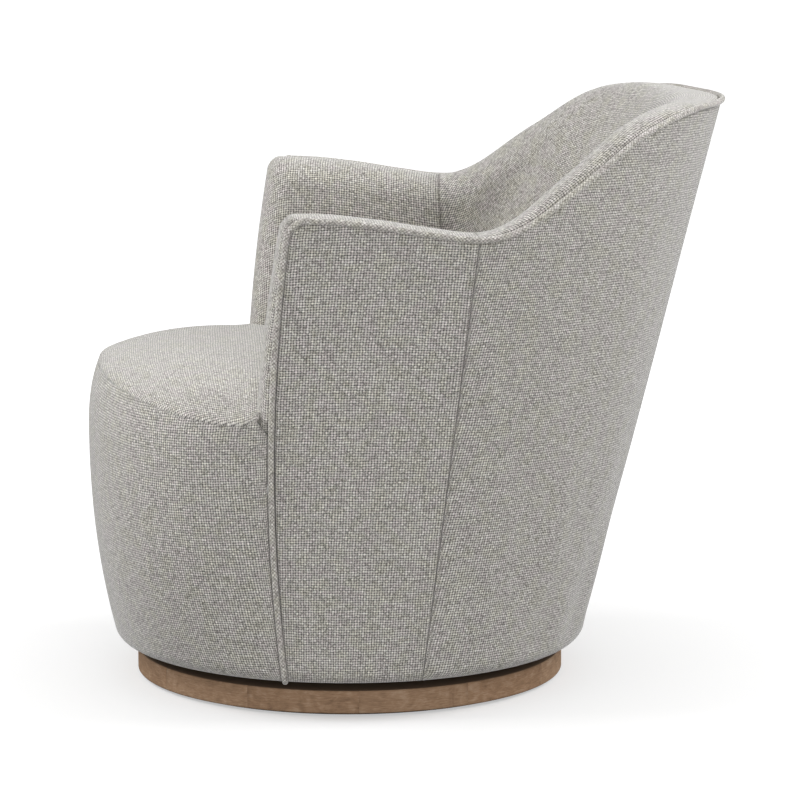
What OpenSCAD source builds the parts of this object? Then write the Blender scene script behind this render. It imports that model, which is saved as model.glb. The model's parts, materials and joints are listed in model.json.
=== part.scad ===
// Swivel rocker: an upholstered tub chair on a round wooden plinth.
// The seat shell turns on a ball-race swivel and rocks on a sprung cross shaft.
// The frame stands on the floor at z = 0 with the swivel axis on Z; the sitter faces -Y.

/* [Plinth] */
// Diameter of the round wooden plinth
plinth_d = 565; // [520:5:640]
// Height of the plinth ring
plinth_h = 30; // [26:1:40]
// Radial width of the plinth ring
plinth_band = 76; // [60:1:100]
// Radius of the eased edges of the plinth
plinth_ease = 3; // [1:0.5:6]
// Height of the glide ring under the plinth
glide_h = 4; // [2:0.5:8]
// Radial width of the glide ring
glide_band = 24; // [15:1:40]
// Thickness of the plywood deck let into the plinth
deck_t = 12; // [9:0.5:16]
// Width of the ledge that the deck rests on
ledge_w = 24; // [16:1:32]

/* [Swivel] */
// Thickness of both pressed steel swivel plates
plate_t = 2.5; // [2:0.1:3]
// Radius of the ball track
race_r = 122; // [110:1:130]
// Diameter of the bearing balls
ball_d = 7; // [6:0.5:8]
// Number of bearing balls
ball_count = 24; // [12:1:30]
// Depth of the groove pressed in each plate for the balls
race_depth = 0.9; // [0.5:0.1:1.1]
// Width of the swivel plates beyond the ball track
plate_rim = 22; // [16:1:24]
// Diameter of the kingpin's shank
kingpin_d = 12; // [10:1:14]
// Clear height between the plinth and the upholstered body
body_gap = 13; // [12:0.5:20]

/* [Rocker mechanism] */
// Height of the rocking shaft above the plinth
pivot_h = 36; // [34:1:40]
// Distance of the rocking shaft behind the swivel axis
pivot_y = 40; // [30:1:46]
// Diameter of the rocking shaft
shaft_d = 12; // [10:1:14]
// Half the distance between the outer faces of the cradle's ears
cradle_half_w = 95; // [90:1:98]
// Front to back length of the cradle and saddle plates
cradle_len = 140; // [130:1:150]
// Thickness of the pressed cradle and saddle
bracket_t = 3; // [2.5:0.1:4]
// Forward rock, front edge down, in degrees
rock_forward = 1.8; // [1:0.1:2]
// Backward rock, rear edge down, in degrees
rock_back = 2.4; // [1:0.1:2.6]
// Diameter of the spring wire
spring_wire = 4; // [3:0.2:5]
// Mean diameter of the coil springs
spring_d = 34; // [28:1:36]
// Working turns of each coil spring
spring_turns = 4; // [3:1:6]

/* [Tub] */
// Radius of the body just above its lower edge
foot_r = 308; // [298:1:320]
// Radius of the rounded lower edge
foot_ease = 16; // [10:1:20]
// Height of the plan that the tub widens to
head_z = 757; // [740:1:790]
// Half the width of that plan
head_half_w = 387; // [372:1:400]
// Distance of its rear from the swivel axis
head_back_y = 488; // [474:1:502]
// Fullness of the rounded back in plan towards the sides, 2 for an ellipse
side_fullness = 1.8; // [1.7:0.01:2.2]
// Fullness of the rounded back in plan towards the rear
rear_fullness = 1.42; // [1.35:0.01:2]
// Height of the arm's front corner
arm_z = 645; // [630:1:665]
// Height of the lowest point of the rim, at the side seams
dip_z = 619; // [605:1:630]
// Height of the rim at its highest, over the back
rim_top_z = 761; // [745:1:790]
// Distance of the arm's front edge ahead of the swivel axis
arm_front = 88; // [80:1:98]
// Forward bow of the arm's front edge at half its height
arm_bow = 20; // [10:1:26]
// Distance of the side seam behind the swivel axis at the head plan
seam_back = 162; // [150:1:170]
// Thickness of the arm
arm_t = 75; // [70:1:90]
// Thickness of the back at its rim
back_t = 98; // [90:1:120]
// Padding of the arm inside its frame at the seat
arm_pad = 16; // [10:1:24]
// Padding of the back in front of the rear seat rail
back_pad = 95; // [80:1:110]
// Radius of the top front corner of the arm
arm_corner_r = 24; // [16:1:30]

/* [Seat] */
// Height of the seat's crown
crown_z = 450; // [435:1:470]
// Distance of the fullest point of the seat front ahead of the axis
seat_front = 344; // [330:1:358]
// Height of that fullest point
seat_belly_z = 340; // [320:1:350]
// Height of the seat seam at the arms
seam_side_z = 380; // [375:1:387]
// Height of the seat seam at the front
seam_front_z = 418; // [406:1:424]
// Fullness of the seat front in plan, 2 for an ellipse
seat_fullness = 2.2; // [2:0.01:2.4]

/* [Upholstery] */
// Thickness of the padded outer panels
panel_t = 10; // [8:0.5:11]
// Diameter of the welt piping
welt_d = 8; // [6:0.5:10]
// Rise of the padded roll above the welt, along the arm
roll_rise = 5.5; // [4:0.5:7]
// Rounding of the roll on the inside of the arm
arm_roll_r = 40; // [30:1:45]
// Rounding of the roll on the inside of the back
back_roll_r = 66; // [50:1:75]
// Forward bulge of the arm's front pad at the top
front_pad_top = 9; // [6:0.5:11]
// Forward bulge of the arm's front pad at the seat
front_pad_low = 18; // [12:0.5:20]

/* [Frame] */
// Thickness of the laminated bottom ring
ring_h = 40; // [34:1:44]
// Radial width of the bottom ring
ring_band = 84; // [70:1:100]
// Thickness of posts and rails across the shell
frame_t = 25; // [20:1:26]
// Width of posts and formers along the shell
post_w = 38; // [28:1:45]
// Depth of the curved rails
rail_h = 50; // [40:1:60]
// Height of the seat rails' upper edge
seat_rail_z = 361; // [355:1:362]
// Section of the two cross rails over the mechanism
cross_rail_w = 60; // [50:1:66]
// Number of sinuous seat springs
seat_spring_count = 5; // [3:1:5]
// Diameter of the seat spring wire
seat_wire = 4; // [3:0.2:4.4]
// Number of elastic straps across the back
strap_count = 4; // [3:1:5]
// Width of the elastic straps
strap_w = 50; // [40:1:55]

/* [Hidden] */
$fn = 96;

// Clearances: pieces at rest on each other, turning pieces, the edges of cloth, the frame under
// its padding, and the overrun of a cutting shape
fit = 0.3;
running = 0.06;
skin_gap = 0.5;
frame_gap = 1.2;
seam_gap = 1;
overrun = 2;

// Colours
fabric = "#b3afa8";
wood = "#6b5647";
birch = "#d9c19a";
steel = "#8d9094";
dark_steel = "#4a4c50";
black = "#232325";
nylon = "#e6e2d8";

// Heights that follow from the sizes above, from the floor up
plinth_r = plinth_d/2;
plinth_top = glide_h + plinth_h;
body_z = plinth_top + body_gap;
lower_plate_top = plinth_top + plate_t;
race_gap = ball_d - 2*race_depth;
ball_z = lower_plate_top + race_gap/2;
upper_plate_z = lower_plate_top + race_gap;
upper_plate_top = upper_plate_z + plate_t;
cradle_top = upper_plate_top + bracket_t;
pivot_z = plinth_top + pivot_h;
ring_lift = 5;
ring_z = body_z + ring_lift;
ring_top = ring_z + ring_h;
saddle_z = ring_top - bracket_t;
ring_r = foot_r - foot_ease - seam_gap;
deck_r = plinth_r - plinth_band + ledge_w;
race_clear = 0.1;

// Height of the rim at even steps from the side seam, as shares of its rise from there: forward
// along the arm, and round the back to its middle
arm_rise_shares = [0, 0.265, 0.625, 0.89, 1];
back_rise_shares = [0, 0.07, 0.42, 0.825, 0.99, 1, 1];

// Rise of the roll from the side seam round the back to its middle, as shares of that of the arm
back_roll_shares = [1, 3.5, 2.1, 0.8, 0.9];

// Foot circle: where the arm's front edge and the side seam stand on it
foot_front_angle = -17.7;
foot_seam_angle = 14.9;
seat_ref_z = 440;
inner_seam_low_y = 145;
inner_seam_high_y = 130;
inner_fullness = 2.2;

// A number or point between a and b
function mix(a, b, t) = a + (b - a)*t;
function ease(t) = t*t*(3 - 2*t);
function limit(x, low, high) = min(max(x, low), high);

// Superellipse legs at angle a for fullness n
function se_cos(a, n) = pow(max(cos(a), 0), 2/n);
function se_sin(a, n) = pow(max(sin(a), 0), 2/n);

// Smooth curve through evenly spaced values, level at its start, at share t of its length
function spline(values, t) =
    let (last = len(values) - 1, x = limit(t, 0, 1)*last, i = min(floor(x), last - 1), f = x - i,
        b = values[i], c = values[i + 1],
        a = i > 0 ? values[i - 1] : c,
        d = i < last - 1 ? values[i + 2] : 2*c - b)
    0.5*(2*b + (c - a)*f + (2*a - 5*b + 4*c - d)*f*f + (3*b - a - 3*c + d)*f*f*f);

// The tub is described by s and z: s is 0 at the arm's front edge, 1 at the side seam and 2 in
// the middle of the back, all on the sitter's left; z is the height above the floor.
function foot_angle(s) = s < 1 ? mix(foot_front_angle, foot_seam_angle, s)
    : mix(foot_seam_angle, 90, s - 1);
function head_plan(s) = s < 1
    ? [head_half_w, mix(-arm_front, seam_back, s)]
    : [head_half_w*se_cos(90*(s - 1), side_fullness),
        seam_back + (head_back_y - seam_back)*se_sin(90*(s - 1), rear_fullness)];
function rise(z) = (z - body_z)/(head_z - body_z);
function bow(z) = let (t = (z - body_z)/(arm_z - body_z)) arm_bow*4*t*(1 - t);
function outer(s, z) =
    let (a = foot_angle(s), p = mix(foot_r*[cos(a), sin(a)], head_plan(s), rise(z)),
        forward = s < 1 ? bow(z)*pow(1 - s, 2) : 0)
    [p[0], p[1] - forward];

// Height of the rim, where the welt runs
function rim(s) = s < 1 ? mix(dip_z, arm_z, spline(arm_rise_shares, 1 - s))
    : mix(dip_z, rim_top_z, spline(back_rise_shares, s - 1));

// Inside face of the tub at the same s and z; below the seat it runs straight down
function seat_half_w() = outer(0, seat_ref_z)[0] - side_rail_d - side_rail_t - arm_pad;
function seat_back_y() = outer(2, seat_ref_z)[1] - side_rail_d - side_rail_t - back_pad;
function inner_half_w(z) = mix(seat_half_w(), head_half_w - arm_t,
    (max(z, seat_ref_z) - seat_ref_z)/(head_z - seat_ref_z));
function inner(s, z) =
    let (t = (max(z, seat_ref_z) - seat_ref_z)/(head_z - seat_ref_z), w = inner_half_w(z),
        seam_y = mix(inner_seam_low_y, inner_seam_high_y, t),
        back_y = mix(seat_back_y(), head_back_y - back_t, t), a = 90*(s - 1))
    s < 1 ? [w, mix(outer(0, z)[1], seam_y, s)]
    : [w*se_cos(a, inner_fullness), seam_y + (back_y - seam_y)*se_sin(a, inner_fullness)];

// Rounds the top front corner of the arm, seen from the side
function round_corner(p) =
    let (r = arm_corner_r, a = r - (p[1] - outer(0, p[2])[1]), b = r - (arm_z - p[2]),
        ra = limit(a, 0, r), rb = limit(b, 0, r))
    a <= 0 || b <= 0 ? p
    : [p[0], p[1] + a*(1 - sqrt(1 - rb*rb/(2*r*r))), p[2] - b*(1 - sqrt(1 - ra*ra/(2*r*r)))];

// A point at depth d inside the outer face
function at(s, z, d) =
    let (o = outer(s, z), a = s < 1 ? 0 : 90*(s - 1))
    round_corner([o[0] - d*cos(a), o[1] - d*sin(a), z]);

// A point of the shell from the outer face, share 0, to the inside face, share 1
function across(s, z, share, forward) =
    let (p = mix(outer(s, z), inner(s, z), share)) round_corner([p[0], p[1] - forward, z]);

// A point on the sitter's left, side = 1, or its mirror image, side = -1
function on_side(p, side) = [side*p[0], p[1], p[2]];

// Seat drum: angle a is 0 at the arm's front edge and 90 in the middle of the front
function belly(z) = z < seat_belly_z
    ? 1 - pow((seat_belly_z - z)/(seat_belly_z - body_z), 2.2)
    : 1 - shoulder_share*(1 - sqrt(1 - pow((z - seat_belly_z)/(crown_z - seat_belly_z), 2)));
shoulder_share = 1.25;
function drum(a, z) =
    let (f = foot_front_angle + (-90 - foot_front_angle)*a/90,
        edge = outer(0, seat_belly_z),
        top = [edge[0]*se_cos(a, seat_fullness),
            edge[1] - (seat_front + edge[1])*se_sin(a, seat_fullness)],
        straight = (z - body_z)/(seat_belly_z - body_z),
        g = mix(straight, belly(z), pow(sin(a), 0.8)),
        p = mix(foot_r*[cos(f), sin(f)], top, g),
        follow = outer(0, z)[1] - mix(foot_r*sin(foot_front_angle), edge[1], straight))
    [p[0], p[1] + follow*(1 - sin(a))];
function drum_at(a, z, d) =
    let (p = drum(a, z), u = p - [0, outer(0, z)[1]])
    [p[0] - d*u[0]/norm(u), p[1] - d*u[1]/norm(u), z];
function seam_z(a) = mix(seam_side_z, seam_front_z, pow(sin(a), 1.5));

// A closed solid between two matching grids of points
module slab(face, back) {
    rows = len(face);
    cols = len(face[0]);
    n = rows*cols;
    r = floor(rows/2);
    c = floor(cols/2);
    normal = cross(face[r][c] - face[r][c - 1], face[r][c] - face[r - 1][c]);
    outward = normal*(face[r][c] - back[r][c]) < 0;
    f = function (i, j) i*cols + j;
    b = function (i, j) n + i*cols + j;
    skin = [for (i = [0:rows - 2], j = [0:cols - 2]) each [
        [f(i, j), f(i, j + 1), f(i + 1, j + 1)], [f(i, j), f(i + 1, j + 1), f(i + 1, j)],
        [b(i, j), b(i + 1, j + 1), b(i, j + 1)], [b(i, j), b(i + 1, j), b(i + 1, j + 1)]]];
    ends = [for (j = [0:cols - 2]) each [
        [f(0, j), b(0, j), b(0, j + 1)], [f(0, j), b(0, j + 1), f(0, j + 1)],
        [f(rows - 1, j), b(rows - 1, j + 1), b(rows - 1, j)],
        [f(rows - 1, j), f(rows - 1, j + 1), b(rows - 1, j + 1)]]];
    sides = [for (i = [0:rows - 2]) each [
        [f(i, 0), f(i + 1, 0), b(i + 1, 0)], [f(i, 0), b(i + 1, 0), b(i, 0)],
        [f(i, cols - 1), b(i + 1, cols - 1), f(i + 1, cols - 1)],
        [f(i, cols - 1), b(i, cols - 1), b(i + 1, cols - 1)]]];
    all = concat(skin, ends, sides);
    polyhedron(points = concat([for (row = face) each row], [for (row = back) each row]),
        faces = outward ? all : [for (t = all) [t[0], t[2], t[1]]]);
}

// A closed solid from rings of points round a first and a last point
module spun(first, rings, last) {
    n = len(rings[0]);
    m = len(rings);
    p = function (i, j) 1 + i*n + (j % n);
    polyhedron(points = concat([first], [for (r = rings) each r], [last]),
        faces = concat([for (j = [0:n - 1]) [0, p(0, j), p(0, j + 1)]],
            [for (i = [0:m - 2], j = [0:n - 1]) each [
                [p(i, j), p(i + 1, j), p(i + 1, j + 1)], [p(i, j), p(i + 1, j + 1), p(i, j + 1)]]],
            [for (j = [0:n - 1]) [1 + m*n, p(m - 1, j + 1), p(m - 1, j)]]));
}

// A round wire along a path, with sides faces and flat ends
module wire(path, d, sides, up) {
    last = len(path) - 1;
    unit = function (v) v/norm(v);
    rings = [for (i = [0:last])
        let (t = unit(path[min(i + 1, last)] - path[max(i - 1, 0)]), x = unit(cross(up(i), t)),
            y = cross(t, x))
        [for (k = [0:sides - 1]) path[i] + d/2*(cos(360*k/sides)*x + sin(360*k/sides)*y)]];
    spun(path[0], rings, path[last]);
}

module ring(outer_r, inner_r, z, h) {
    translate([0, 0, z]) difference() {
        cylinder(r = outer_r, h = h);
        translate([0, 0, -overrun]) cylinder(r = inner_r, h = h + 2*overrun);
    }
}

// Copies of the children at count even angles on a circle
module around(count, r, start = 0) {
    for (i = [0:count - 1]) rotate([0, 0, start + 360*i/count]) translate([r, 0, 0]) children();
}

module both_sides() {
    children();
    mirror([1, 0, 0]) children();
}

// Base

// Screws that hold the deck in the ring
deck_screw_count = 8;
deck_screw_d = 5;
deck_screw_head_d = 9;
deck_screw_len = 24;
deck_screw_r = deck_r - ledge_w/2;

module plinth_ring() color(wood) difference() {
    rotate_extrude() {
        inner_r = plinth_r - plinth_band;
        e = plinth_ease;
        difference() {
            union() {
                translate([inner_r, glide_h]) square([plinth_band - e, plinth_h]);
                translate([inner_r, glide_h + e]) square([plinth_band, plinth_h - 2*e]);
                for (z = [glide_h + e, plinth_top - e]) translate([plinth_r - e, z]) circle(e);
            }
            translate([inner_r - overrun, plinth_top - deck_t])
                square([ledge_w + overrun + fit, deck_t + overrun]);
        }
    }
    around(deck_screw_count, deck_screw_r)
        translate([0, 0, plinth_top - deck_screw_len]) cylinder(d = deck_screw_d, h = deck_screw_len);
}

module plinth_deck() color(black) difference() {
    translate([0, 0, plinth_top - deck_t]) cylinder(r = deck_r, h = deck_t);
    translate([0, 0, plinth_top - deck_t - overrun])
        cylinder(d = kingpin_d, h = deck_t + 2*overrun);
    around(deck_screw_count, deck_screw_r) countersunk(deck_screw_d, deck_screw_head_d,
        deck_screw_len, plinth_top);
    around(plate_screw_count, plate_screw_r) countersunk(plate_screw_d, plate_screw_d,
        deck_t, plinth_top);
}

// Outline of a countersunk screw whose head is flush with height z
module countersunk(d, head_d, length, z) {
    translate([0, 0, z - length]) cylinder(d = d, h = length);
    translate([0, 0, z - (head_d - d)/2]) cylinder(d1 = d, d2 = head_d, h = (head_d - d)/2);
}

module deck_screws() color(steel) around(deck_screw_count, deck_screw_r)
    countersunk(deck_screw_d, deck_screw_head_d, deck_screw_len, plinth_top);

module floor_glide_ring() color(black)
    ring(plinth_r - plinth_ease - glide_band/2, plinth_r - plinth_ease - 1.5*glide_band, 0, glide_h);

// Swivel bearing

plate_r = race_r + plate_rim;
plate_screw_count = 6;
plate_screw_d = 5;
plate_screw_r = race_r + plate_rim/2;
plate_screw_head_h = 2.6;

module track(z) {
    rotate_extrude() translate([race_r, z]) circle(ball_d/2 + race_clear);
}

module lower_swivel_plate() color(steel) difference() {
    ring(plate_r, kingpin_d/2, plinth_top, plate_t);
    track(ball_z);
    around(plate_screw_count, plate_screw_r)
        translate([0, 0, plinth_top - overrun]) cylinder(d = plate_screw_d, h = plate_t + 2*overrun);
}

module plate_screws() color(dark_steel) around(plate_screw_count, plate_screw_r) {
    translate([0, 0, plinth_top - deck_t]) cylinder(d = plate_screw_d, h = deck_t + plate_t);
    translate([0, 0, lower_plate_top]) cylinder(d = 2*plate_screw_d, h = plate_screw_head_h);
}

kingpin_head_af = 19;
kingpin_head_h = 7;
kingpin_nut_h = 8;
bush_d = 20;
bush_flange_d = 28;
bush_flange_t = 1.5;
nut_z = upper_plate_top + bush_flange_t + fit;

module hexagon(af, h) {
    cylinder(d = af/cos(30), h = h, $fn = 6);
}

module kingpin() color(dark_steel) {
    translate([0, 0, plinth_top - deck_t - kingpin_head_h]) hexagon(kingpin_head_af, kingpin_head_h);
    translate([0, 0, plinth_top - deck_t])
        cylinder(d = kingpin_d, h = nut_z + kingpin_nut_h + overrun - plinth_top + deck_t);
}

module kingpin_nut() color(steel) difference() {
    translate([0, 0, nut_z]) union() {
        hexagon(kingpin_head_af, kingpin_nut_h);
        cylinder(d = bush_flange_d, h = bush_flange_t);
    }
    translate([0, 0, nut_z - overrun]) cylinder(d = kingpin_d, h = kingpin_nut_h + 2*overrun);
}

cage_t = 1.6;
cage_band = 10;

module bearing_balls() color(steel) around(ball_count, race_r)
    translate([0, 0, ball_z]) sphere(d = ball_d);

module bearing_cage() color(nylon) difference() {
    ring(race_r + cage_band/2, race_r - cage_band/2, ball_z - cage_t/2, cage_t);
    around(ball_count, race_r) translate([0, 0, ball_z - overrun])
        cylinder(r = ball_d/2 + race_clear, h = 2*overrun);
}

module upper_swivel_plate() color(steel) difference() {
    ring(plate_r - bracket_t, bush_d/2, upper_plate_z, plate_t);
    track(ball_z);
    translate([0, pivot_y, upper_plate_z - overrun]) four(cradle_bolt_x, cradle_bolt_y)
        cylinder(d = bolt_d, h = plate_t + 2*overrun);
}

module centre_bush() color(nylon) difference() {
    union() {
        translate([0, 0, upper_plate_z]) cylinder(d = bush_d, h = plate_t + bush_flange_t);
        translate([0, 0, upper_plate_top]) cylinder(d = bush_flange_d, h = bush_flange_t);
    }
    translate([0, 0, upper_plate_z - overrun])
        cylinder(r = kingpin_d/2 + running, h = plate_t + bush_flange_t + 2*overrun);
}

// Rocker mechanism

bolt_d = 8;
bolt_head_h = 4.5;
bumper_d = 22;
cradle_bolt_x = 0.4*cradle_half_w;
cradle_bolt_y = 0.37*cradle_len/2;
saddle_bolt_x = 0.88*cradle_half_w;
saddle_bolt_y = 0.71*cradle_len/2;
spring_x = 0.59*cradle_half_w;
spring_y = 0.66*cradle_len/2;
bumper_x = 0.24*cradle_half_w;
bumper_y = cradle_len/2 - bumper_d/2;
ear_r = 14;
ear_foot_w = 56;
bush_wall = 3;
bush_flange_w = 4;
saddle_gap = 1.5;
saddle_half_w = cradle_half_w + saddle_gap + bracket_t;
nut_clear_r = 18;

module four(x, y) {
    for (i = [-1, 1], j = [-1, 1]) translate([i*x, j*y, 0]) children();
}

// A plate with four rounded corners
module rounded_plate(w, l, t, r) {
    linear_extrude(t) union() {
        square([w, l - 2*r], center = true);
        square([w - 2*r, l], center = true);
        for (i = [-1, 1], j = [-1, 1]) translate([i*(w/2 - r), j*(l/2 - r)]) circle(r);
    }
}

// Ear standing across X with its round end on the rocking shaft
module ear(x, foot_z) {
    translate([x, 0, 0]) rotate([90, 0, 90]) linear_extrude(bracket_t) {
        translate([0, pivot_z]) circle(ear_r);
        polygon([[-ear_foot_w/2, foot_z], [ear_foot_w/2, foot_z],
            [ear_r, pivot_z], [-ear_r, pivot_z]]);
    }
}

module shaft_hole(r) {
    translate([-2*cradle_half_w, 0, pivot_z]) rotate([0, 90, 0]) cylinder(r = r, h = 4*cradle_half_w);
}

module rocker_cradle() color(dark_steel) translate([0, pivot_y, 0]) difference() {
    union() {
        translate([0, 0, upper_plate_top])
            rounded_plate(2*cradle_half_w, cradle_len, bracket_t, ear_r);
        for (x = [-cradle_half_w, cradle_half_w - bracket_t]) ear(x, upper_plate_top);
        four(spring_x, spring_y) translate([0, 0, cradle_top])
            cylinder(d = spring_d - spring_wire - overrun, h = bracket_t);
    }
    shaft_hole(shaft_d/2 + bush_wall);
    translate([0, 0, upper_plate_top - overrun]) four(cradle_bolt_x, cradle_bolt_y)
        cylinder(d = bolt_d, h = bracket_t + 2*overrun);
    translate([0, -pivot_y, upper_plate_top - overrun])
        cylinder(r = nut_clear_r, h = bracket_t + 2*overrun);
}

module cradle_bolts() color(steel) translate([0, pivot_y, 0]) four(cradle_bolt_x, cradle_bolt_y) {
    translate([0, 0, upper_plate_z - plate_t]) cylinder(d = 1.8*bolt_d, h = plate_t);
    translate([0, 0, upper_plate_z])
        cylinder(d = bolt_d, h = cradle_top + bolt_head_h + overrun - upper_plate_z);
    translate([0, 0, cradle_top]) hexagon(1.6*bolt_d, bolt_head_h);
}

module pivot_bushes() color(nylon) both_sides() translate([0, pivot_y, pivot_z]) rotate([0, 90, 0])
    difference() {
        union() {
            translate([0, 0, cradle_half_w - bracket_t])
                cylinder(r = shaft_d/2 + bush_wall, h = bracket_t);
            translate([0, 0, cradle_half_w])
                cylinder(r = shaft_d/2 + bush_wall + bush_flange_w, h = saddle_gap - fit);
        }
        cylinder(r = shaft_d/2 + running, h = 2*cradle_half_w);
    }

// Height of the stop that meets the saddle when it has tilted by the given angle
function stop_h(tilt) = saddle_z - (bumper_y + bumper_d/2)*sin(tilt) - fit - cradle_top;

module rubber_bumpers() color(black) for (i = [-1, 1], end = [[-1, rock_forward], [1, rock_back]])
    translate([i*bumper_x, pivot_y + end[0]*bumper_y, cradle_top]) union() {
        cylinder(d = bumper_d, h = stop_h(end[1])*0.7);
        cylinder(d1 = bumper_d, d2 = bumper_d*0.9, h = stop_h(end[1]));
    }

// Compression spring with closed ends, from the cradle to the saddle
spring_steps = 10;
spring_sides = 5;

module coil_spring() {
    low = cradle_top + spring_wire/2;
    high = saddle_z - spring_wire/2;
    turns = spring_turns + 2;
    steps = turns*spring_steps;
    pitch = (high - low - 2*spring_wire)/spring_turns;
    climb = function (t) spring_wire*min(t, 1) + pitch*limit(t - 1, 0, spring_turns)
        + spring_wire*max(t - spring_turns - 1, 0);
    path = [for (i = [0:steps]) let (t = i/spring_steps)
        [spring_d/2*cos(360*t), spring_d/2*sin(360*t), low + climb(t)]];
    wire(path, spring_wire - fit, spring_sides, function (i) [0, 0, 1]);
}

module spring_pair(y) color(dark_steel) for (i = [-1, 1])
    translate([i*spring_x, pivot_y + y, 0]) coil_spring();

module front_springs() spring_pair(-spring_y);
module rear_springs() spring_pair(spring_y);

module rocker_saddle() color(dark_steel) translate([0, pivot_y, 0]) difference() {
    union() {
        translate([0, 0, saddle_z]) rounded_plate(2*saddle_half_w, cradle_len, bracket_t, ear_r);
        for (x = [-saddle_half_w, saddle_half_w - bracket_t]) ear(x, ring_top);
    }
    shaft_hole(shaft_d/2);
    translate([0, 0, saddle_z - overrun]) four(saddle_bolt_x, saddle_bolt_y)
        cylinder(d = bolt_d, h = bracket_t + 2*overrun);
}

clip_t = 1.2;
clip_w = 4;
shaft_end = 4;

module pivot_shaft() color(steel)
    translate([-saddle_half_w - shaft_end, pivot_y, pivot_z]) rotate([0, 90, 0])
        cylinder(d = shaft_d, h = 2*(saddle_half_w + shaft_end));

module shaft_clips() color(steel) both_sides()
    translate([saddle_half_w, pivot_y, pivot_z]) rotate([0, 90, 0]) difference() {
        cylinder(r = shaft_d/2 + clip_w, h = clip_t);
        translate([0, 0, -overrun]) cylinder(d = shaft_d, h = clip_t + 2*overrun);
        translate([0, -shaft_d/3, -overrun]) cube([shaft_d, shaft_d*2/3, clip_t + 2*overrun]);
    }

module saddle_bolts() color(steel) translate([0, pivot_y, 0]) four(saddle_bolt_x, saddle_bolt_y) {
    translate([0, 0, saddle_z - bolt_head_h]) hexagon(1.6*bolt_d, bolt_head_h);
    translate([0, 0, saddle_z]) cylinder(d = bolt_d, h = bracket_t + cross_rail_h + bolt_head_h);
    translate([0, 0, ring_top + cross_rail_h]) cylinder(d = 2.4*bolt_d, h = bolt_head_h - overrun);
}

// Wooden frame

cross_rail_h = 40;
cross_rail_seat = 14;
block_w = 40;

module bottom_frame_ring() color(birch) ring(ring_r, ring_r - ring_band, ring_z, ring_h);

module cross_rails() color(birch) difference() {
    intersection() {
        translate([0, 0, ring_top]) cylinder(r = ring_r - cross_rail_seat, h = cross_rail_h);
        for (j = [-1, 1]) translate([-ring_r, pivot_y + j*saddle_bolt_y - cross_rail_w/2, ring_top])
            cube([2*ring_r, cross_rail_w, cross_rail_h]);
    }
    translate([0, pivot_y, ring_top - overrun]) four(saddle_bolt_x, saddle_bolt_y)
        cylinder(d = bolt_d, h = cross_rail_h + 2*overrun);
}

// Triangular blocks glued in the corners between the cross rails and the ring
module glue_blocks() color(birch) both_sides() for (j = [-1, 1])
    translate([ring_r - ring_band + overrun, pivot_y + j*(saddle_bolt_y + cross_rail_w/2), ring_top])
        mirror([0, j < 0 ? 1 : 0, 0]) linear_extrude(cross_rail_h)
            polygon([[0, 0], [block_w, 0], [0, block_w]]);

// A post on the ring that follows the outer face and is cut to the slope of the rail above, whose
// lower edge is the given drop below the rim; s_step is the step over which its width is measured
post_rows = 6;
s_step = 0.05;
module post(s, drop) {
    level = function (q, i) mix(post_z, rim(q) - drop - frame_gap, i/post_rows);
    half = function (z) post_w/2*s_step/norm(outer(s, z) - outer(s - s_step, z));
    side = function (q, i, d) q > 2 ? on_side(at(4 - q, level(4 - q, i), d), -1)
        : at(q, level(q, i), d);
    face = function (d) [for (i = [0:post_rows]) let (h = half(level(s, i)))
        [for (k = [-h, h]) side(s + k, i, d)]];
    slab(face(frame_d), face(frame_d + frame_t));
}

frame_d = panel_t + frame_gap;
band_frame_d = frame_d + seam_gap;
post_z = ring_top;
arm_rail_drop = 24;
back_rail_drop = 30;
front_post_s = 0.18;
rear_post_s = 0.9;
arm_rail_start_s = 0.1;
former_shares = [0.3, 0.65, 1];

// Rail along the rim, its top edge the given drop below the welt
module rim_rail(places, drop, h) {
    slab([for (e = [h, 0]) [for (p = places) on_side(at(p[0], rim(p[0]) - drop - e, frame_d), p[1])]],
        [for (e = [h, 0]) [for (p = places)
            on_side(at(p[0], rim(p[0]) - drop - e, frame_d + frame_t), p[1])]]);
}

module arm_rails() color(birch) both_sides()
    rim_rail([for (i = [0:arm_columns]) [mix(arm_rail_start_s, 1 - seam_s, i/arm_columns), 1]],
        arm_rail_drop, rail_h);

module back_top_rail() color(birch)
    rim_rail([for (i = [-back_columns:back_columns])
        [2 - abs(i)/back_columns*(1 - seam_s), i < 0 ? 1 : -1]], back_rail_drop, rail_h);

module arm_front_posts() color(birch) both_sides() post(front_post_s, arm_rail_drop + rail_h);

module arm_rear_posts() color(birch) both_sides() post(rear_post_s, arm_rail_drop + rail_h);

module back_formers() color(birch) for (share = former_shares, side = share < 1 ? [-1, 1] : [1])
    mirror([side < 0 ? 1 : 0, 0, 0]) post(1 + share, back_rail_drop + rail_h);

// Formers under the front rail follow the belly of the seat front
former_angles = [22, 56, 90];
former_rows = 8;
module front_former(a) {
    half = post_w/4/norm(drum(a, seat_belly_z))*180/PI;
    level = function (i) mix(post_z, seat_rail_z - rail_h - fit, i/former_rows);
    side = function (b, z, depth) b > 90 ? on_side(drum_at(180 - b, z, depth), -1)
        : drum_at(b, z, depth);
    face = function (depth) [for (i = [0:former_rows])
        [for (k = [-half, half]) side(a + k, level(i), depth)]];
    slab(face(band_frame_d), face(band_frame_d + frame_t));
}

module front_formers() color(birch) for (a = former_angles, side = a < 90 ? [-1, 1] : [1])
    mirror([side < 0 ? 1 : 0, 0, 0]) front_former(a);

front_rail_start = 8;
module front_seat_rail() color(birch) {
    n = 16;
    place = [for (i = [-n:n]) [90 - abs(i)/n*(90 - front_rail_start), i < 0 ? 1 : -1]];
    levels = [seat_rail_z - rail_h, seat_rail_z];
    face = function (d) [for (z = levels) [for (p = place) on_side(drum_at(p[0], z, d), p[1])]];
    slab(face(band_frame_d), face(band_frame_d + frame_t));
}

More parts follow.
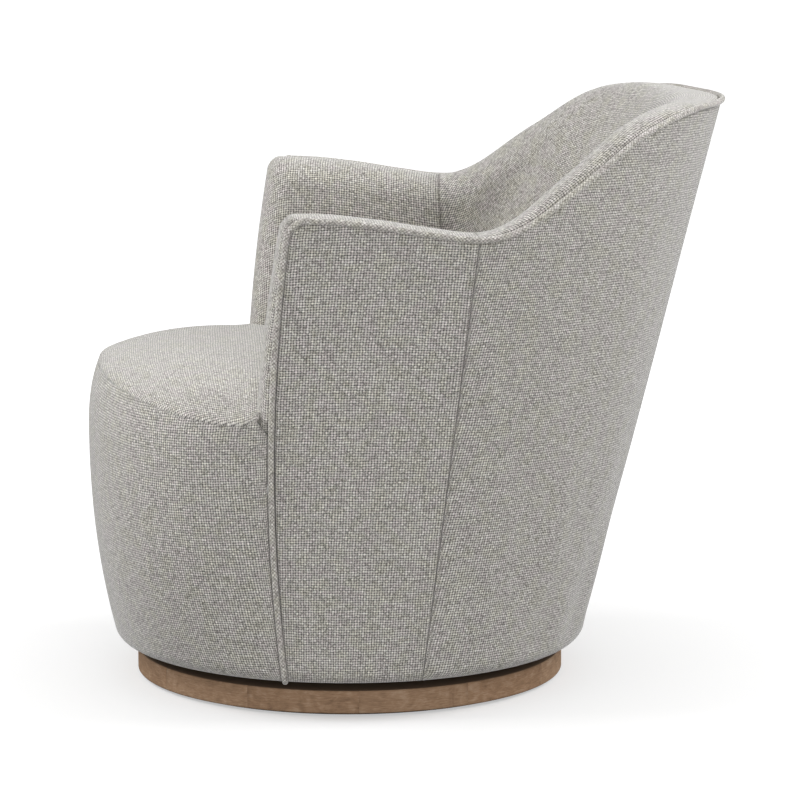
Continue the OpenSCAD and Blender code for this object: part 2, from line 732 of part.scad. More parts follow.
// Curved seat rails inside the posts: one along each arm and one round the back
side_rail_t = 22;
side_rail_d = frame_d + frame_t + seam_gap;
side_rail_start_s = 0.03;
rear_rail_s = 1.46;
rail_joint_s = 0.001;
rail_steps = 10;

module seat_rail(places) {
    face = function (d) [for (z = [seat_rail_z - rail_h, seat_rail_z])
        [for (p = places) on_side(at(p[0], z, d), p[1])]];
    slab(face(side_rail_d), face(side_rail_d + side_rail_t));
}

module side_seat_rails() color(birch) both_sides() seat_rail([for (i = [0:rail_steps])
    [mix(side_rail_start_s, rear_rail_s - rail_joint_s, i/rail_steps), 1]]);

module rear_seat_rail() color(birch) seat_rail([for (i = [-rail_steps:rail_steps])
    [2 - abs(i)/rail_steps*(2 - rear_rail_s), i < 0 ? 1 : -1]]);

// Sinuous springs from the front rail to the rear rail, held by clips
seat_spring_loop = 30;
seat_spring_pitch = 84;
bend_steps = 3;
loop_half_w = 20;
clip_w_x = 14;
clip_len = 16;
clip_roof = 1.2;

function spring_place_x(i) = (i - (seat_spring_count - 1)/2)*seat_spring_pitch;

// Middle of the seat rails at their upper edge, and y on it at x: the front rail is followed by
// its angle on the drum, the rear rail by s
front_line = function (a) drum_at(a, seat_rail_z, band_frame_d + frame_t/2);
rear_line = function (s) at(s, seat_rail_z, side_rail_d + side_rail_t/2);
function line_y(line, x, low, high, tries = 14) =
    let (middle = (low + high)/2, p = line(middle))
    tries == 0 ? p[1]
    : p[0] > abs(x) ? line_y(line, x, middle, high, tries - 1) : line_y(line, x, low, middle, tries - 1);
function front_rail_y(x) = line_y(front_line, x, 0, 90);
function rear_rail_y(x) = line_y(rear_line, x, 1, 2);

module seat_springs() color(steel) for (i = [0:seat_spring_count - 1]) {
    x = spring_place_x(i);
    y0 = front_rail_y(x);
    y1 = rear_rail_y(x);
    steps = floor((y1 - y0)/seat_spring_loop)*bend_steps;
    wave = function (k) k < 2 || k > steps - 2 ? 0 : loop_half_w*sin(180*k/bend_steps);
    path = [for (k = [0:steps])
        [x + wave(k), mix(y0, y1, k/steps), seat_rail_z + seat_wire/2 + fit]];
    wire(path, seat_wire, 4, function (k) [0, 0, 1]);
}

module spring_clips() color(dark_steel) for (i = [0:seat_spring_count - 1])
    for (y = [front_rail_y(spring_place_x(i)), rear_rail_y(spring_place_x(i))])
        translate([spring_place_x(i), y - clip_len/2, seat_rail_z]) difference() {
            slot = seat_wire + 2*fit;
            translate([-clip_w_x/2, 0, 0]) cube([clip_w_x, clip_len, slot + clip_roof]);
            translate([-slot/2, -overrun, -overrun])
                cube([slot, clip_len + 2*overrun, slot + overrun]);
        }

// Felt over the springs, cut to the curve of the rails
cover_t = 2;
cover_steps = 8;
cover_margin = 12;
module spring_cover() color(black) {
    half = spring_place_x(seat_spring_count - 1) + loop_half_w + cover_margin;
    places = [for (i = [-cover_steps:cover_steps]) half*i/cover_steps];
    translate([0, 0, seat_rail_z + seat_wire + 2*fit + clip_roof]) linear_extrude(cover_t)
        polygon(concat([for (x = places) [x, front_rail_y(x)]],
            [for (i = [2*cover_steps:-1:0]) [places[i], rear_rail_y(places[i])]]));
}

// Elastic straps across the inside of the back formers
strap_t = 1.6;
strap_gap = 12;
strap_start_share = 0.28;
strap_columns = 8;
// Share of the way round the back at which the top rail has risen above height z
function strap_end(z) = [for (share = [strap_start_share:0.02:0.9])
    if (rim(1 + share) - back_rail_drop - rail_h > z) share][0];
module back_webbing() color(black) for (k = [0:strap_count - 1]) {
    low = seat_rail_z + rail_h/2 + k*(strap_w + strap_gap);
    reach = 1 - strap_end(low + strap_w);
    place = [for (i = [-strap_columns:strap_columns])
        [2 - abs(i)/strap_columns*reach, i < 0 ? 1 : -1]];
    face = function (d) [for (z = [low, low + strap_w])
        [for (p = place) on_side(at(p[0], z, d), p[1])]];
    slab(face(side_rail_d), face(side_rail_d + strap_t));
}

dust_t = 1;
module dust_cover() color(black) ring(foot_r - foot_ease - lip_w - overrun,
    ring_r - ring_band - overrun, ring_z - dust_t - fit, dust_t);

// Upholstery

// Lower lip of the outer panels: depth and height of its points, from the turned-under edge up
lip_w = 12;
lip_steps = 4;
lip_face = concat([[foot_ease + lip_w, 0]],
    [for (i = [0:lip_steps]) let (a = 90*i/lip_steps)
        [foot_ease*(1 - sin(a)), foot_ease*(1 - cos(a))]]);
lip_top = ring_lift - skin_gap;
lip_back = concat([[foot_ease + lip_w, lip_top]],
    [for (i = [0:lip_steps])
        [mix(foot_ease + skin_gap, panel_t, i/lip_steps), mix(lip_top, foot_ease, i/lip_steps)]]);

// Rows of a panel from its lip to a top height, at depth 0 on the face or panel_t on the back
panel_rows = 9;
function panel_column(lip, d, top) = concat(
    [for (p = lip) [p[0], body_z + p[1]]],
    [for (i = [1:panel_rows]) [d, mix(body_z + foot_ease, top, i/panel_rows)]]);

// Panel of the outer face; edge gives the s at which it starts at height z
module tub_panel(places, edge = function (z) 0) {
    columns = function (lip, d) [for (p = places)
        [for (r = panel_column(lip, d, rim(p[0]) - welt_d/2 - skin_gap))
            on_side(at(mix(edge(r[1]), 1, p[0]), r[1], r[0]), p[1])]];
    slab(columns(lip_face, 0), columns(lip_back, panel_t));
}

// Gap kept at the seams between neighbouring panels, half the room that the welt takes between
// them, and the length of the arm
seam_s = 0.004;
welt_room = welt_d/2 + seam_gap;
arm_run = arm_front + seam_back;
arm_columns = 8;
arm_foot_run = foot_r*(foot_seam_angle - foot_front_angle)*PI/180;
module outside_arm() tub_panel(
    [for (i = [0:arm_columns]) [(1 - seam_s)*pow(i/arm_columns, 1.3), 1]],
    function (z) (welt_room + seam_gap)/mix(arm_foot_run, arm_run, rise(z)));
module outside_arm_left() color(fabric) outside_arm();
module outside_arm_right() color(fabric) mirror([1, 0, 0]) outside_arm();

back_columns = 11;
module outside_back() color(fabric) tub_panel([for (i = [-back_columns:back_columns])
    [2 - abs(i)/back_columns*(1 - seam_s), i < 0 ? 1 : -1]]);

// Angle of the band's edge beside the welt, at the foot, at the belly and at height z
band_foot_angle = welt_room/(foot_r*cos(foot_front_angle))*180/PI*90/(90 + foot_front_angle);
band_belly_angle = asin(pow(welt_room/(seat_front + outer(0, seat_belly_z)[1]), seat_fullness/2));
function band_edge(z) =
    mix(band_foot_angle, band_belly_angle, limit((z - body_z)/(seat_belly_z - body_z), 0, 1));

band_columns = 15;
module seat_front_band() color(fabric) {
    place = [for (i = [-band_columns:band_columns]) [abs(i)/band_columns, i < 0 ? 1 : -1]];
    angle = function (share, z) 90 - share*(90 - band_edge(z));
    columns = function (lip, d) [for (p = place)
        [for (r = panel_column(lip, d, seam_z(angle(p[0], seam_side_z)) - skin_gap))
            on_side(drum_at(angle(p[0], r[1]), r[1], r[0]), p[1])]];
    slab(columns(lip_face, 0), columns(lip_back, panel_t + seam_gap));
}

// Seat: the drum's front half and the part between the arms share the centre (0, -tuck_y)
tuck_y = arm_front + arm_bow + front_pad_low + overrun;
front_points = 26;
rear_points = 22;
seat_edge_angle = 6;
seat_base_z = seat_rail_z + seat_wire + 2*fit + clip_roof + cover_t + fit;

function seat_edge_front(j) =
    let (a = mix(seat_edge_angle, 180 - seat_edge_angle, j/front_points),
        q = a > 90 ? 180 - a : a, z = seam_z(q), p = drum(q, z))
    on_side([p[0], min(p[1], -tuck_y), z], a > 90 ? -1 : 1);
function seat_edge_rear(j) =
    let (t = j/rear_points, s = t < 0.25 ? mix(0, 1, t*4) : t > 0.75 ? mix(1, 0, t*4 - 3)
            : t < 0.5 ? 1 + (t - 0.25)*4 : 2 - (t - 0.5)*4,
        p = inner(s, seat_ref_z), side = t > 0.5 ? 1 : -1,
        y = j == 0 || j == rear_points ? -tuck_y : p[1], x = p[0] - seam_gap)
    [side*x, y - (s > 1 ? seam_gap*sin(90*(s - 1)) : 0), cushion_z(x, y)];

// Height of the seat between the arms: crowned across, and let down a little at the back
rear_drop = 10;
dome_fullness = 1;
function cushion_z(x, y) = seam_side_z + (crown_z - seam_side_z)
    *pow(max(0, 1 - pow(x/outer(0, seam_side_z)[0], 2)), dome_fullness)
    - rear_drop*pow(limit((y + tuck_y)/(seat_back_y() + tuck_y), 0, 1), 3);
seat_outline = concat([for (j = [0:front_points]) seat_edge_front(j)],
    [for (j = [0:rear_points]) seat_edge_rear(j)]);
seat_ring_shares = [1, 0.97, 0.92, 0.84, 0.72, 0.54, 0.28];

// Crowned height of the seat along the line from its centre to outline point k
function seat_height(k, share) =
    let (o = seat_outline[k], front = k <= front_points,
        a = abs(atan2(-(o[1] + tuck_y), o[0])), f = pow(sin(front ? a : 0), 1.5),
        m = mix(2, 4, f), e = mix(dome_fullness, 0.4545, f),
        x = share*o[0], y = -tuck_y + share*(o[1] + tuck_y))
    front ? o[2] + (crown_z - o[2])*pow(max(0, 1 - pow(share, m)), e) : cushion_z(x, y);

module seat_top() color(fabric) {
    n = len(seat_outline);
    centre = [0, -tuck_y, 0];
    flat = function (k) [seat_outline[k][0], seat_outline[k][1], 0];
    shrink = function (k) k <= front_points ? 1 - (panel_t + 2*overrun)/norm(flat(k) - centre) : 1;
    place = function (k, share, z) let (p = mix(centre, flat(k), share)) [p[0], p[1], z];
    top = [for (i = [len(seat_ring_shares) - 1:-1:0]) [for (k = [0:n - 1])
        place(k, seat_ring_shares[i], seat_height(k, seat_ring_shares[i]))]];
    under = [for (k = [0:n - 1]) place(k, shrink(k), seat_outline[k][2] - fit)];
    base = [for (k = [0:n - 1]) place(k, shrink(k), seat_base_z)];
    spun([0, -tuck_y, crown_z], concat(top, [under, base]), [0, -tuck_y, seat_base_z]);
}

// Padded roll over the rim, from the welt to the inside face: share of the thickness and height
// above the rim
roll_steps = 5;
function roll(first_share, crest_share, r, rise_h) = concat(
    [for (i = [0:roll_steps - 1]) let (a = 90*i/roll_steps)
        [mix(first_share, crest_share, 1 - cos(a)), rise_h*sin(a)]],
    [for (i = [0:roll_steps]) let (a = 90*i/roll_steps)
        [mix(crest_share, 1, sin(a)), rise_h - r*(1 - cos(a))]]);
arm_crest_share = 0.43;
back_crest_share = 0.49;
function crest_share(s) = mix(arm_crest_share, back_crest_share, ease(max(0, s - 1)));
function roll_r(s) = mix(arm_roll_r, back_roll_r, ease(max(0, s - 1)));
function roll_lift(s) = roll_rise*(s < 1 ? 1 : spline(back_roll_shares, s - 1));

// Rows of an inside panel: share across, and height, from the welt over the roll and down
inside_rows = 6;
inside_z = seam_side_z + seam_gap;
function welt_share(s) = (welt_d/2 + skin_gap)/norm(outer(s, rim(s)) - inner(s, rim(s)));
function inside_column(s) = let (low = rim(s) + roll_lift(s) - roll_r(s),
    r = roll(welt_share(s), crest_share(s), roll_r(s), roll_lift(s)))
    concat([for (p = r) [p[0], rim(s) + p[1]]],
        [for (i = [1:inside_rows]) [1, mix(low, inside_z, i/inside_rows)]]);

// Inner skin of the same panel, over the frame: depth from the outer face, and height
cap_drop = 22;
web_d = side_rail_d + strap_t + skin_gap;
function inside_lining(s) = concat(
    [for (i = [0:2*roll_steps]) i == 0 ? [panel_t - skin_gap, rim(s) - skin_gap]
        : i == 1 ? [frame_d, rim(s) - skin_gap]
        : [mix(frame_d, web_d, (i - 2)/(2*roll_steps - 2)), rim(s) - cap_drop]],
    [for (i = [1:inside_rows]) [web_d, mix(rim(s) - cap_drop, inside_z, i/inside_rows)]]);

module inside_back() color(fabric) {
    n = 11;
    place = [for (i = [-n:n]) [2 - abs(i)/n*(1 - seam_s), i < 0 ? 1 : -1]];
    slab([for (p = place) [for (r = inside_column(p[0]))
            on_side(across(p[0], r[1], r[0], 0), p[1])]],
        [for (p = place) [for (r = inside_lining(p[0])) on_side(at(p[0], r[1], r[0]), p[1])]]);
}

// The arm's inside panel also wraps the front of the arm, with the roll turned upright
function front_pad(z) = mix(front_pad_low, front_pad_top,
    limit((z - seam_side_z)/(arm_z - seam_side_z), 0, 1));
arm_inside_columns = 6;
module inside_arm() {
    front = roll(welt_share(0), arm_crest_share, arm_roll_r, 0);
    last = len(front) - 1;
    roll_end = (arm_roll_r - front_pad_top)/arm_run;
    further = function (j) (j - last)/arm_inside_columns;
    face = [for (j = [0:last + arm_inside_columns])
        let (wrap = j <= last, share = wrap ? front[j][0] : 1,
            s = wrap ? 0 : mix(roll_end, 1 - seam_s, further(j)))
        [for (r = inside_column(wrap ? max(0, -wrap_forward(j, 0)/arm_run) : s))
            let (forward = wrap ? wrap_forward(j, front_pad(r[1])) : 0)
            across(max(s, -forward/arm_run), r[1], max(r[0]*share, welt_share(0)), max(forward, 0))]];
    edge = (welt_d/2 - skin_gap)/arm_run;
    cap = cap_drop/arm_run;
    lining = [for (j = [0:last + arm_inside_columns])
        let (t = min(j/last, 1), s = j <= last ? mix(edge, cap, t) : mix(cap, 1 - seam_s, further(j)))
        [for (r = inside_lining(s)) at(s, r[1], min(r[0], mix(panel_t + skin_gap, web_d, t)))]];
    slab(face, lining);
}
// Distance of wrap column j ahead of the arm's front edge, for a pad of the given bulge
function wrap_forward(j, pad) =
    let (i = j < roll_steps ? j : j - roll_steps, a = 90*i/roll_steps)
    j < roll_steps ? pad*sin(a) : pad - arm_roll_r*(1 - cos(a));

module inside_arm_left() color(fabric) inside_arm();
module inside_arm_right() color(fabric) mirror([1, 0, 0]) inside_arm();

// Piping round the front edges and the rim
welt_front_points = 14;
welt_corner_steps = 5;
welt_arm_points = 10;
welt_back_points = 20;
welt_sides = 6;
welt_out = 0.5;
module welt_piping() color(fabric) {
    r = arm_corner_r;
    front = [for (i = [0:welt_front_points - 1])
        at(0, mix(body_z + foot_ease, arm_z - r, i/(welt_front_points - 1)), -welt_out)];
    corner = [for (i = [1:welt_corner_steps - 1])
        let (a = 90*i/welt_corner_steps, z = arm_z - r*(1 - sin(a)), o = outer(0, z))
        [o[0] + welt_out, o[1] + r*(1 - cos(a)), z]];
    arm = [for (i = [0:welt_arm_points - 1]) let (s = mix(r/arm_run, 1, i/(welt_arm_points - 1)))
        at(s, rim(s), -welt_out)];
    back = [for (i = [1:welt_back_points]) let (s = 1 + i/welt_back_points)
        at(s, rim(s), -welt_out)];
    half = concat(front, corner, arm, back);
    path = concat(half, [for (i = [len(half) - 2:-1:0]) on_side(half[i], -1)]);
    tub_middle = [0, inner_seam_high_y, dip_z - welt_d];
    wire(path, welt_d, welt_sides, function (i) path[i] - tub_middle);
}

plinth_ring();
plinth_deck();
deck_screws();
floor_glide_ring();
lower_swivel_plate();
plate_screws();
kingpin();
kingpin_nut();
bearing_balls();
bearing_cage();
upper_swivel_plate();
centre_bush();
rocker_cradle();
cradle_bolts();
pivot_bushes();
rubber_bumpers();
front_springs();
rear_springs();
rocker_saddle();
pivot_shaft();
shaft_clips();
saddle_bolts();
cross_rails();
bottom_frame_ring();
glue_blocks();
front_formers();
front_seat_rail();
side_seat_rails();
rear_seat_rail();
arm_front_posts();
arm_rear_posts();
arm_rails();
back_formers();
back_top_rail();
seat_springs();
spring_clips();
spring_cover();
back_webbing();
dust_cover();
seat_top();
seat_front_band();
inside_arm_left();
inside_arm_right();
inside_back();
outside_arm_left();
outside_arm_right();
outside_back();
welt_piping();
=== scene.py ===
"""The looks of a swivel rocker: cloth, piping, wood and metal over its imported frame."""

import json
import math

import bmesh
import bpy
import numpy as np
from bpy.props import FloatProperty, IntProperty, PointerProperty, StringProperty
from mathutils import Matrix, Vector

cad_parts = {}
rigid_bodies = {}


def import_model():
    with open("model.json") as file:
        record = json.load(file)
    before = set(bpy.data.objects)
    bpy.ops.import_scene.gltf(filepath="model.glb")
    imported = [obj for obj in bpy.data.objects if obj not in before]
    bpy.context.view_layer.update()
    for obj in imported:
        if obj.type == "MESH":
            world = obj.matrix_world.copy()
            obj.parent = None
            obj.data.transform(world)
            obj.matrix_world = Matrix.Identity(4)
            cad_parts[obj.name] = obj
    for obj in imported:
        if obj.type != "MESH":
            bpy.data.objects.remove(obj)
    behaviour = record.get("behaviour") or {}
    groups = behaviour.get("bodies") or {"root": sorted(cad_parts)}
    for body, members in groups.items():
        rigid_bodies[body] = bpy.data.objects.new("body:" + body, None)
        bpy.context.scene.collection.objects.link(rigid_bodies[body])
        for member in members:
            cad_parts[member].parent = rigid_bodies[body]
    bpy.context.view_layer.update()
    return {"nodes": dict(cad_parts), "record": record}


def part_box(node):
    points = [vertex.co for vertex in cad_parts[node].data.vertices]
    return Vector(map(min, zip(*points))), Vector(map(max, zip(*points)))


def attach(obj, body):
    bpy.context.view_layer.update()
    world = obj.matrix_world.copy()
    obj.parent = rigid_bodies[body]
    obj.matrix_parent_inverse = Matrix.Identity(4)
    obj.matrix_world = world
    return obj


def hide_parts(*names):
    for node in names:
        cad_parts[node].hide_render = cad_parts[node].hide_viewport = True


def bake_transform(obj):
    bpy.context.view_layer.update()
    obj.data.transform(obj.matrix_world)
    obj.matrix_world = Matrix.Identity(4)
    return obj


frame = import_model()

bl_info = {
    "name": "Swivel Rocker",
    "version": (1, 0, 0),
    "blender": (4, 5, 0),
    "location": "View3D > Sidebar > Rocker",
    "description": "Dresses the frame of an upholstered swivel rocker in cloth, wood and metal",
    "category": "Object",
}

MM = 0.001


class Tub:
    """Measures of the tub in millimetres and degrees, and its shares and powers, the same as
    those of the frame under it."""

    body_z, head_z = 47, 757
    foot_r, foot_front, foot_seam, foot_ease = 308, -17.7, 14.9, 16
    head_half_w, head_back_y = 387, 488
    side_fullness, rear_fullness, inner_fullness = 1.8, 1.42, 2.2
    arm_z, dip_z, rim_top_z = 645, 619, 761
    arm_front, seam_back, arm_bow, corner_r, pad_corner_r = 88, 162, 20, 24, 17
    arm_run = arm_front + seam_back
    arm_foot_run = foot_r * math.radians(foot_seam - foot_front)
    arm_t, back_t, arm_pad, back_pad = 75, 98, 16, 95
    arm_rise_shares = (0, 0.265, 0.625, 0.89, 1)
    back_rise_shares = (0, 0.07, 0.42, 0.825, 0.99, 1, 1)
    back_roll_shares = (1, 3.5, 2.1, 0.8, 0.9)
    inner_seam_low_y, inner_seam_high_y = 145, 130
    crown_z, seat_front, belly_z, shoulder = 450, 344, 340, 1.25
    dome_z, side_power, side_out = 444, 2.6, 0.6
    seam_side_z, seam_front_z, seam_power, seat_fullness = 380, 418, 1.5, 2.2
    belly_power, follow_power = 2.2, 0.8
    panel_t, welt_r, skin_gap = 10, 4, 0.5
    roll_rise, arm_roll_r, back_roll_r = 5.5, 40, 66
    arm_crest_share, back_crest_share = 0.43, 0.49
    front_pad_top, front_pad_low = 9, 18
    frame_d, rail_d, rail_t, web_d, cap_drop = 11.2, 37.2, 22, 39.3, 22
    seat_ref_z, seat_base_z, tuck_y, rear_drop = 440, 369.1, 128, 10
    seam_s, lip_w, lip_t = 0.004, 12, 4.5
    fell_w, fell_depth, outside_run, staple_r = 6.5, 2.0, 640, 272
    tuck_angles, tuck_lifts = (0.8, 3.4, 6.5, 11), (-8, 10, 4, 0)
    tuck_start, tuck_drop, tuck_share = 2.9, 13, 0.2
    # Panels of cloth: how they turn under, lie apart and are divided
    turn_r, seam_turn_r, seat_seam_r, groove_w, stitch_lift = 4.0, 2.5, 0.7, 0.9, 0.4
    turn_shares = (0, 0.1, 0.28, 0.55, 1)
    welt_room, hair, front_t, seat_inset, seat_skin_t = welt_r + 0.1, 0.2, 11, 14, 0.3
    outside_rise, front_rise, front_run, back_run = 600, 350, 500, 560
    face_step, pad_step, wrap_columns, arm_columns, roll_rows, pad_rows = 6, 7, 33, 28, 41, 49
    groove_room, groove_steps = (2, 5), (-1.4, -0.7, 0, 0.7, 1.4, 3)
    seat_rings, ring_crowding, front_power, front_out = 42, 1.6, 4, 0.4545
    shoulder_run, shoulder_bend = 150, 0.8
    # Filling and the simulation of the cloth over it
    outside_fill, inside_fill, seat_fill = 0.9, 0.7, 0.8
    seat_cap, pad_cap, filling_pressure, cloth_stiffness = 5, 5, 4, 5
    sheet_step, sewn_rows, settling_frames, smoothings = 5, 3, 20, 6


# The tub's surface. A place on it is given by s and z: s is 0 at the arm's front edge, 1 at the
# side seam and 2 in the middle of the back, and z is the height above the floor.


def mix(a, b, t):
    return a + (b - a) * t


def ease(t):
    return t * t * (3 - 2 * t)


def cosd(angle):
    return np.cos(np.radians(angle))


def sind(angle):
    return np.sin(np.radians(angle))


def rounded_cos(angle, fullness):
    return np.maximum(cosd(angle), 0) ** (2 / fullness)


def rounded_sin(angle, fullness):
    return np.maximum(sind(angle), 0) ** (2 / fullness)


def spline(values, t):
    """Smooth curve through evenly spaced values at share t of its length."""
    v = np.asarray(values, float)
    last = len(v) - 1
    x = np.clip(t, 0, 1) * last
    i = np.minimum(np.floor(x).astype(int), last - 1)
    f = x - i
    b, c = v[i], v[i + 1]
    a = np.where(i > 0, v[np.maximum(i - 1, 0)], c)
    d = np.where(i < last - 1, v[np.minimum(i + 2, last)], 2 * c - b)
    return 0.5 * (
        2 * b + (c - a) * f + (2 * a - 5 * b + 4 * c - d) * f**2 + (3 * b - a - 3 * c + d) * f**3
    )


def outer(s, z):
    """Point of the tub's outer face in plan."""
    s, z = np.broadcast_arrays(s, z)
    rear = np.clip(s - 1, 0, 1)
    foot = np.where(s < 1, mix(Tub.foot_front, Tub.foot_seam, s), mix(Tub.foot_seam, 90, rear))
    head_x = Tub.head_half_w * rounded_cos(90 * rear, Tub.side_fullness)
    head_y = np.where(
        s < 1,
        mix(-Tub.arm_front, Tub.seam_back, s),
        mix(Tub.seam_back, Tub.head_back_y, rounded_sin(90 * rear, Tub.rear_fullness)),
    )
    rise = (z - Tub.body_z) / (Tub.head_z - Tub.body_z)
    t = (z - Tub.body_z) / (Tub.arm_z - Tub.body_z)
    bow = np.where(s < 1, Tub.arm_bow * 4 * t * (1 - t) * (1 - s) ** 2, 0)
    x = mix(Tub.foot_r * cosd(foot), head_x, rise)
    y = mix(Tub.foot_r * sind(foot), head_y, rise) - bow
    return np.stack([x, y], -1)


def rim(s):
    """Height of the welt along the tub's upper edge."""
    arm = mix(Tub.dip_z, Tub.arm_z, spline(Tub.arm_rise_shares, 1 - s))
    back = mix(Tub.dip_z, Tub.rim_top_z, spline(Tub.back_rise_shares, s - 1))
    return np.where(s < 1, arm, back)


def seat_half_w():
    return outer(0, Tub.seat_ref_z)[0] - Tub.rail_d - Tub.rail_t - Tub.arm_pad


def seat_back_y():
    return outer(2, Tub.seat_ref_z)[1] - Tub.rail_d - Tub.rail_t - Tub.back_pad


def inner(s, z):
    """Point of the tub's inside face in plan."""
    s, z = np.broadcast_arrays(s, z)
    t = (np.maximum(z, Tub.seat_ref_z) - Tub.seat_ref_z) / (Tub.head_z - Tub.seat_ref_z)
    w = mix(seat_half_w(), Tub.head_half_w - Tub.arm_t, t)
    seam_y = mix(Tub.inner_seam_low_y, Tub.inner_seam_high_y, t)
    back_y = mix(seat_back_y(), Tub.head_back_y - Tub.back_t, t)
    a = 90 * np.clip(s - 1, 0, 1)
    x = np.where(s < 1, w, w * rounded_cos(a, Tub.inner_fullness))
    front_y = mix(outer(0, z)[..., 1], seam_y, np.minimum(s, 1))
    rear_y = mix(seam_y, back_y, rounded_sin(a, Tub.inner_fullness))
    return np.stack([x, np.where(s < 1, front_y, rear_y)], -1)


def round_corner(x, y, z, bulge=0):
    """Rounds the arm's top front corner, as seen from the side, where the pads on the arm's
    front and top have reached the share bulge of their full height."""
    r = mix(Tub.corner_r, Tub.pad_corner_r, bulge)
    a = r - (y - outer(0, z)[..., 1] + Tub.front_pad_top * bulge)
    b = r - (Tub.arm_z + Tub.roll_rise * bulge - z)
    ra, rb = np.clip(a, 0, r), np.clip(b, 0, r)
    inside = (a > 0) & (b > 0)
    y = np.where(inside, y + a * (1 - np.sqrt(1 - rb * rb / (2 * r * r))), y)
    z = np.where(inside, z - b * (1 - np.sqrt(1 - ra * ra / (2 * r * r))), z)
    return np.stack(np.broadcast_arrays(x, y, z), -1)


def at(s, z, d):
    """Point at depth d inside the tub's outer face."""
    s, z, d = np.broadcast_arrays(s, z, d)
    o = outer(s, z)
    a = 90 * np.clip(s - 1, 0, 1)
    return round_corner(o[..., 0] - d * cosd(a), o[..., 1] - d * sind(a), z)


def across(s, z, share, forward):
    """Point of the shell from its outer face, share 0, to its inside face, share 1."""
    p = outer(s, z) * (1 - share[..., None]) + inner(s, z) * share[..., None]
    climb = np.clip(share / Tub.arm_crest_share, 0, 1)
    return round_corner(p[..., 0], p[..., 1] - forward, z, np.sqrt(1 - (1 - climb) ** 2))


def drum(a, z):
    """Point of the seat's front in plan: a is 0 at the arm's edge and 90 in the middle."""
    a, z = np.broadcast_arrays(a, z)
    foot = mix(Tub.foot_front, -90, a / 90)
    edge = outer(0, Tub.belly_z)
    top_x = edge[0] * rounded_cos(a, Tub.seat_fullness)
    top_y = edge[1] - (Tub.seat_front + edge[1]) * rounded_sin(a, Tub.seat_fullness)
    straight = (z - Tub.body_z) / (Tub.belly_z - Tub.body_z)
    low = 1 - np.maximum((Tub.belly_z - z) / (Tub.belly_z - Tub.body_z), 0) ** Tub.belly_power
    up = np.clip((z - Tub.belly_z) / (Tub.crown_z - Tub.belly_z), 0, 1)
    belly = np.where(z < Tub.belly_z, low, 1 - Tub.shoulder * (1 - np.sqrt(1 - up**2)))
    g = mix(straight, belly, sind(a) ** Tub.follow_power)
    follow = outer(0, z)[..., 1] - mix(Tub.foot_r * sind(Tub.foot_front), edge[1], straight)
    x = mix(Tub.foot_r * cosd(foot), top_x, g)
    y = mix(Tub.foot_r * sind(foot), top_y, g) + follow * (1 - sind(a))
    return np.stack([x, y], -1)


def drum_at(a, z, d):
    """Point at depth d inside the seat's front."""
    a, z, d = np.broadcast_arrays(a, z, d)
    p = drum(a, z)
    u = p - np.stack([np.zeros_like(z), outer(0, z)[..., 1]], -1)
    u = u / np.linalg.norm(u, axis=-1, keepdims=True)
    p = p - d[..., None] * u
    return np.stack([p[..., 0], p[..., 1], z], -1)


def seam_z(a):
    """Height of the seam between the seat and its front."""
    return mix(Tub.seam_side_z, Tub.seam_front_z, sind(a) ** Tub.seam_power)


def seat_seam(a):
    """The same seam where it runs up to the tuck ahead of the arm's pad and down beside it."""
    return seam_z(a) + np.interp(a, Tub.tuck_angles, Tub.tuck_lifts)


def band_edge(z):
    """Angle of the edge of the seat's front beside the welt."""
    foot_x = Tub.foot_r * cosd(Tub.foot_front)
    foot = np.degrees(Tub.welt_room / foot_x) * 90 / (90 + Tub.foot_front)
    reach = Tub.seat_front + outer(0, Tub.belly_z)[1]
    belly = np.degrees(np.arcsin((Tub.welt_room / reach) ** (Tub.seat_fullness / 2)))
    return mix(foot, belly, np.clip((z - Tub.body_z) / (Tub.belly_z - Tub.body_z), 0, 1))


# Cloth over the surface


def mirrored(points):
    return points * np.array([-1, 1, 1])


def both_sides(half):
    """Columns of points on the sitter's left joined to their mirror image past the middle."""
    return np.concatenate([half, mirrored(half)[:, -2::-1]], 1)


def spaced(length, step, turn=Tub.turn_r):
    """Distances from 0 to length, close together where cloth turns under at both ends."""
    close = turn * np.array(Tub.turn_shares)
    count = max(2, round((length - 2 * turn) / step))
    middle = np.linspace(turn, length - turn, count + 1)[1:-1]
    return np.concatenate([close, middle, length - close[::-1]])


def half_spaced(run, step):
    """Distances from the edge to the middle of a panel that is twice run wide."""
    y = spaced(2 * run, step)
    return np.append(y[y < run], run)


def turned(e, r=Tub.turn_r):
    """Depth of a padded edge of radius r at distance e from where it ends."""
    rest = r - np.clip(e, 0, r)
    return r - np.sqrt(r * r - rest * rest)


def slack(s, z):
    """Depth by which the stretched cloth of the outside lies in or out, in gentle waves that
    are strongest low at the rear, where the body's curve gathers it."""
    gather_z, gather_h, fade_h = 150, 110, 120
    calm, gathered = 0.25, 2.2
    low = np.exp(-(((z - gather_z) / gather_h) ** 2)) * np.clip(s - 1, 0, 0.5)
    waves = np.sin(23 * s + z / 90) + np.sin(31 * s - z / 60 + 2)
    return (calm + gathered * low) * waves * np.clip((rim(s) - z) / fade_h, 0, 1)


def arm_edge(z):
    """The s at which the arm's outside panel starts, beside the welt."""
    rise = (z - Tub.body_z) / (Tub.head_z - Tub.body_z)
    return Tub.welt_room / mix(Tub.arm_foot_run, Tub.arm_run, rise)


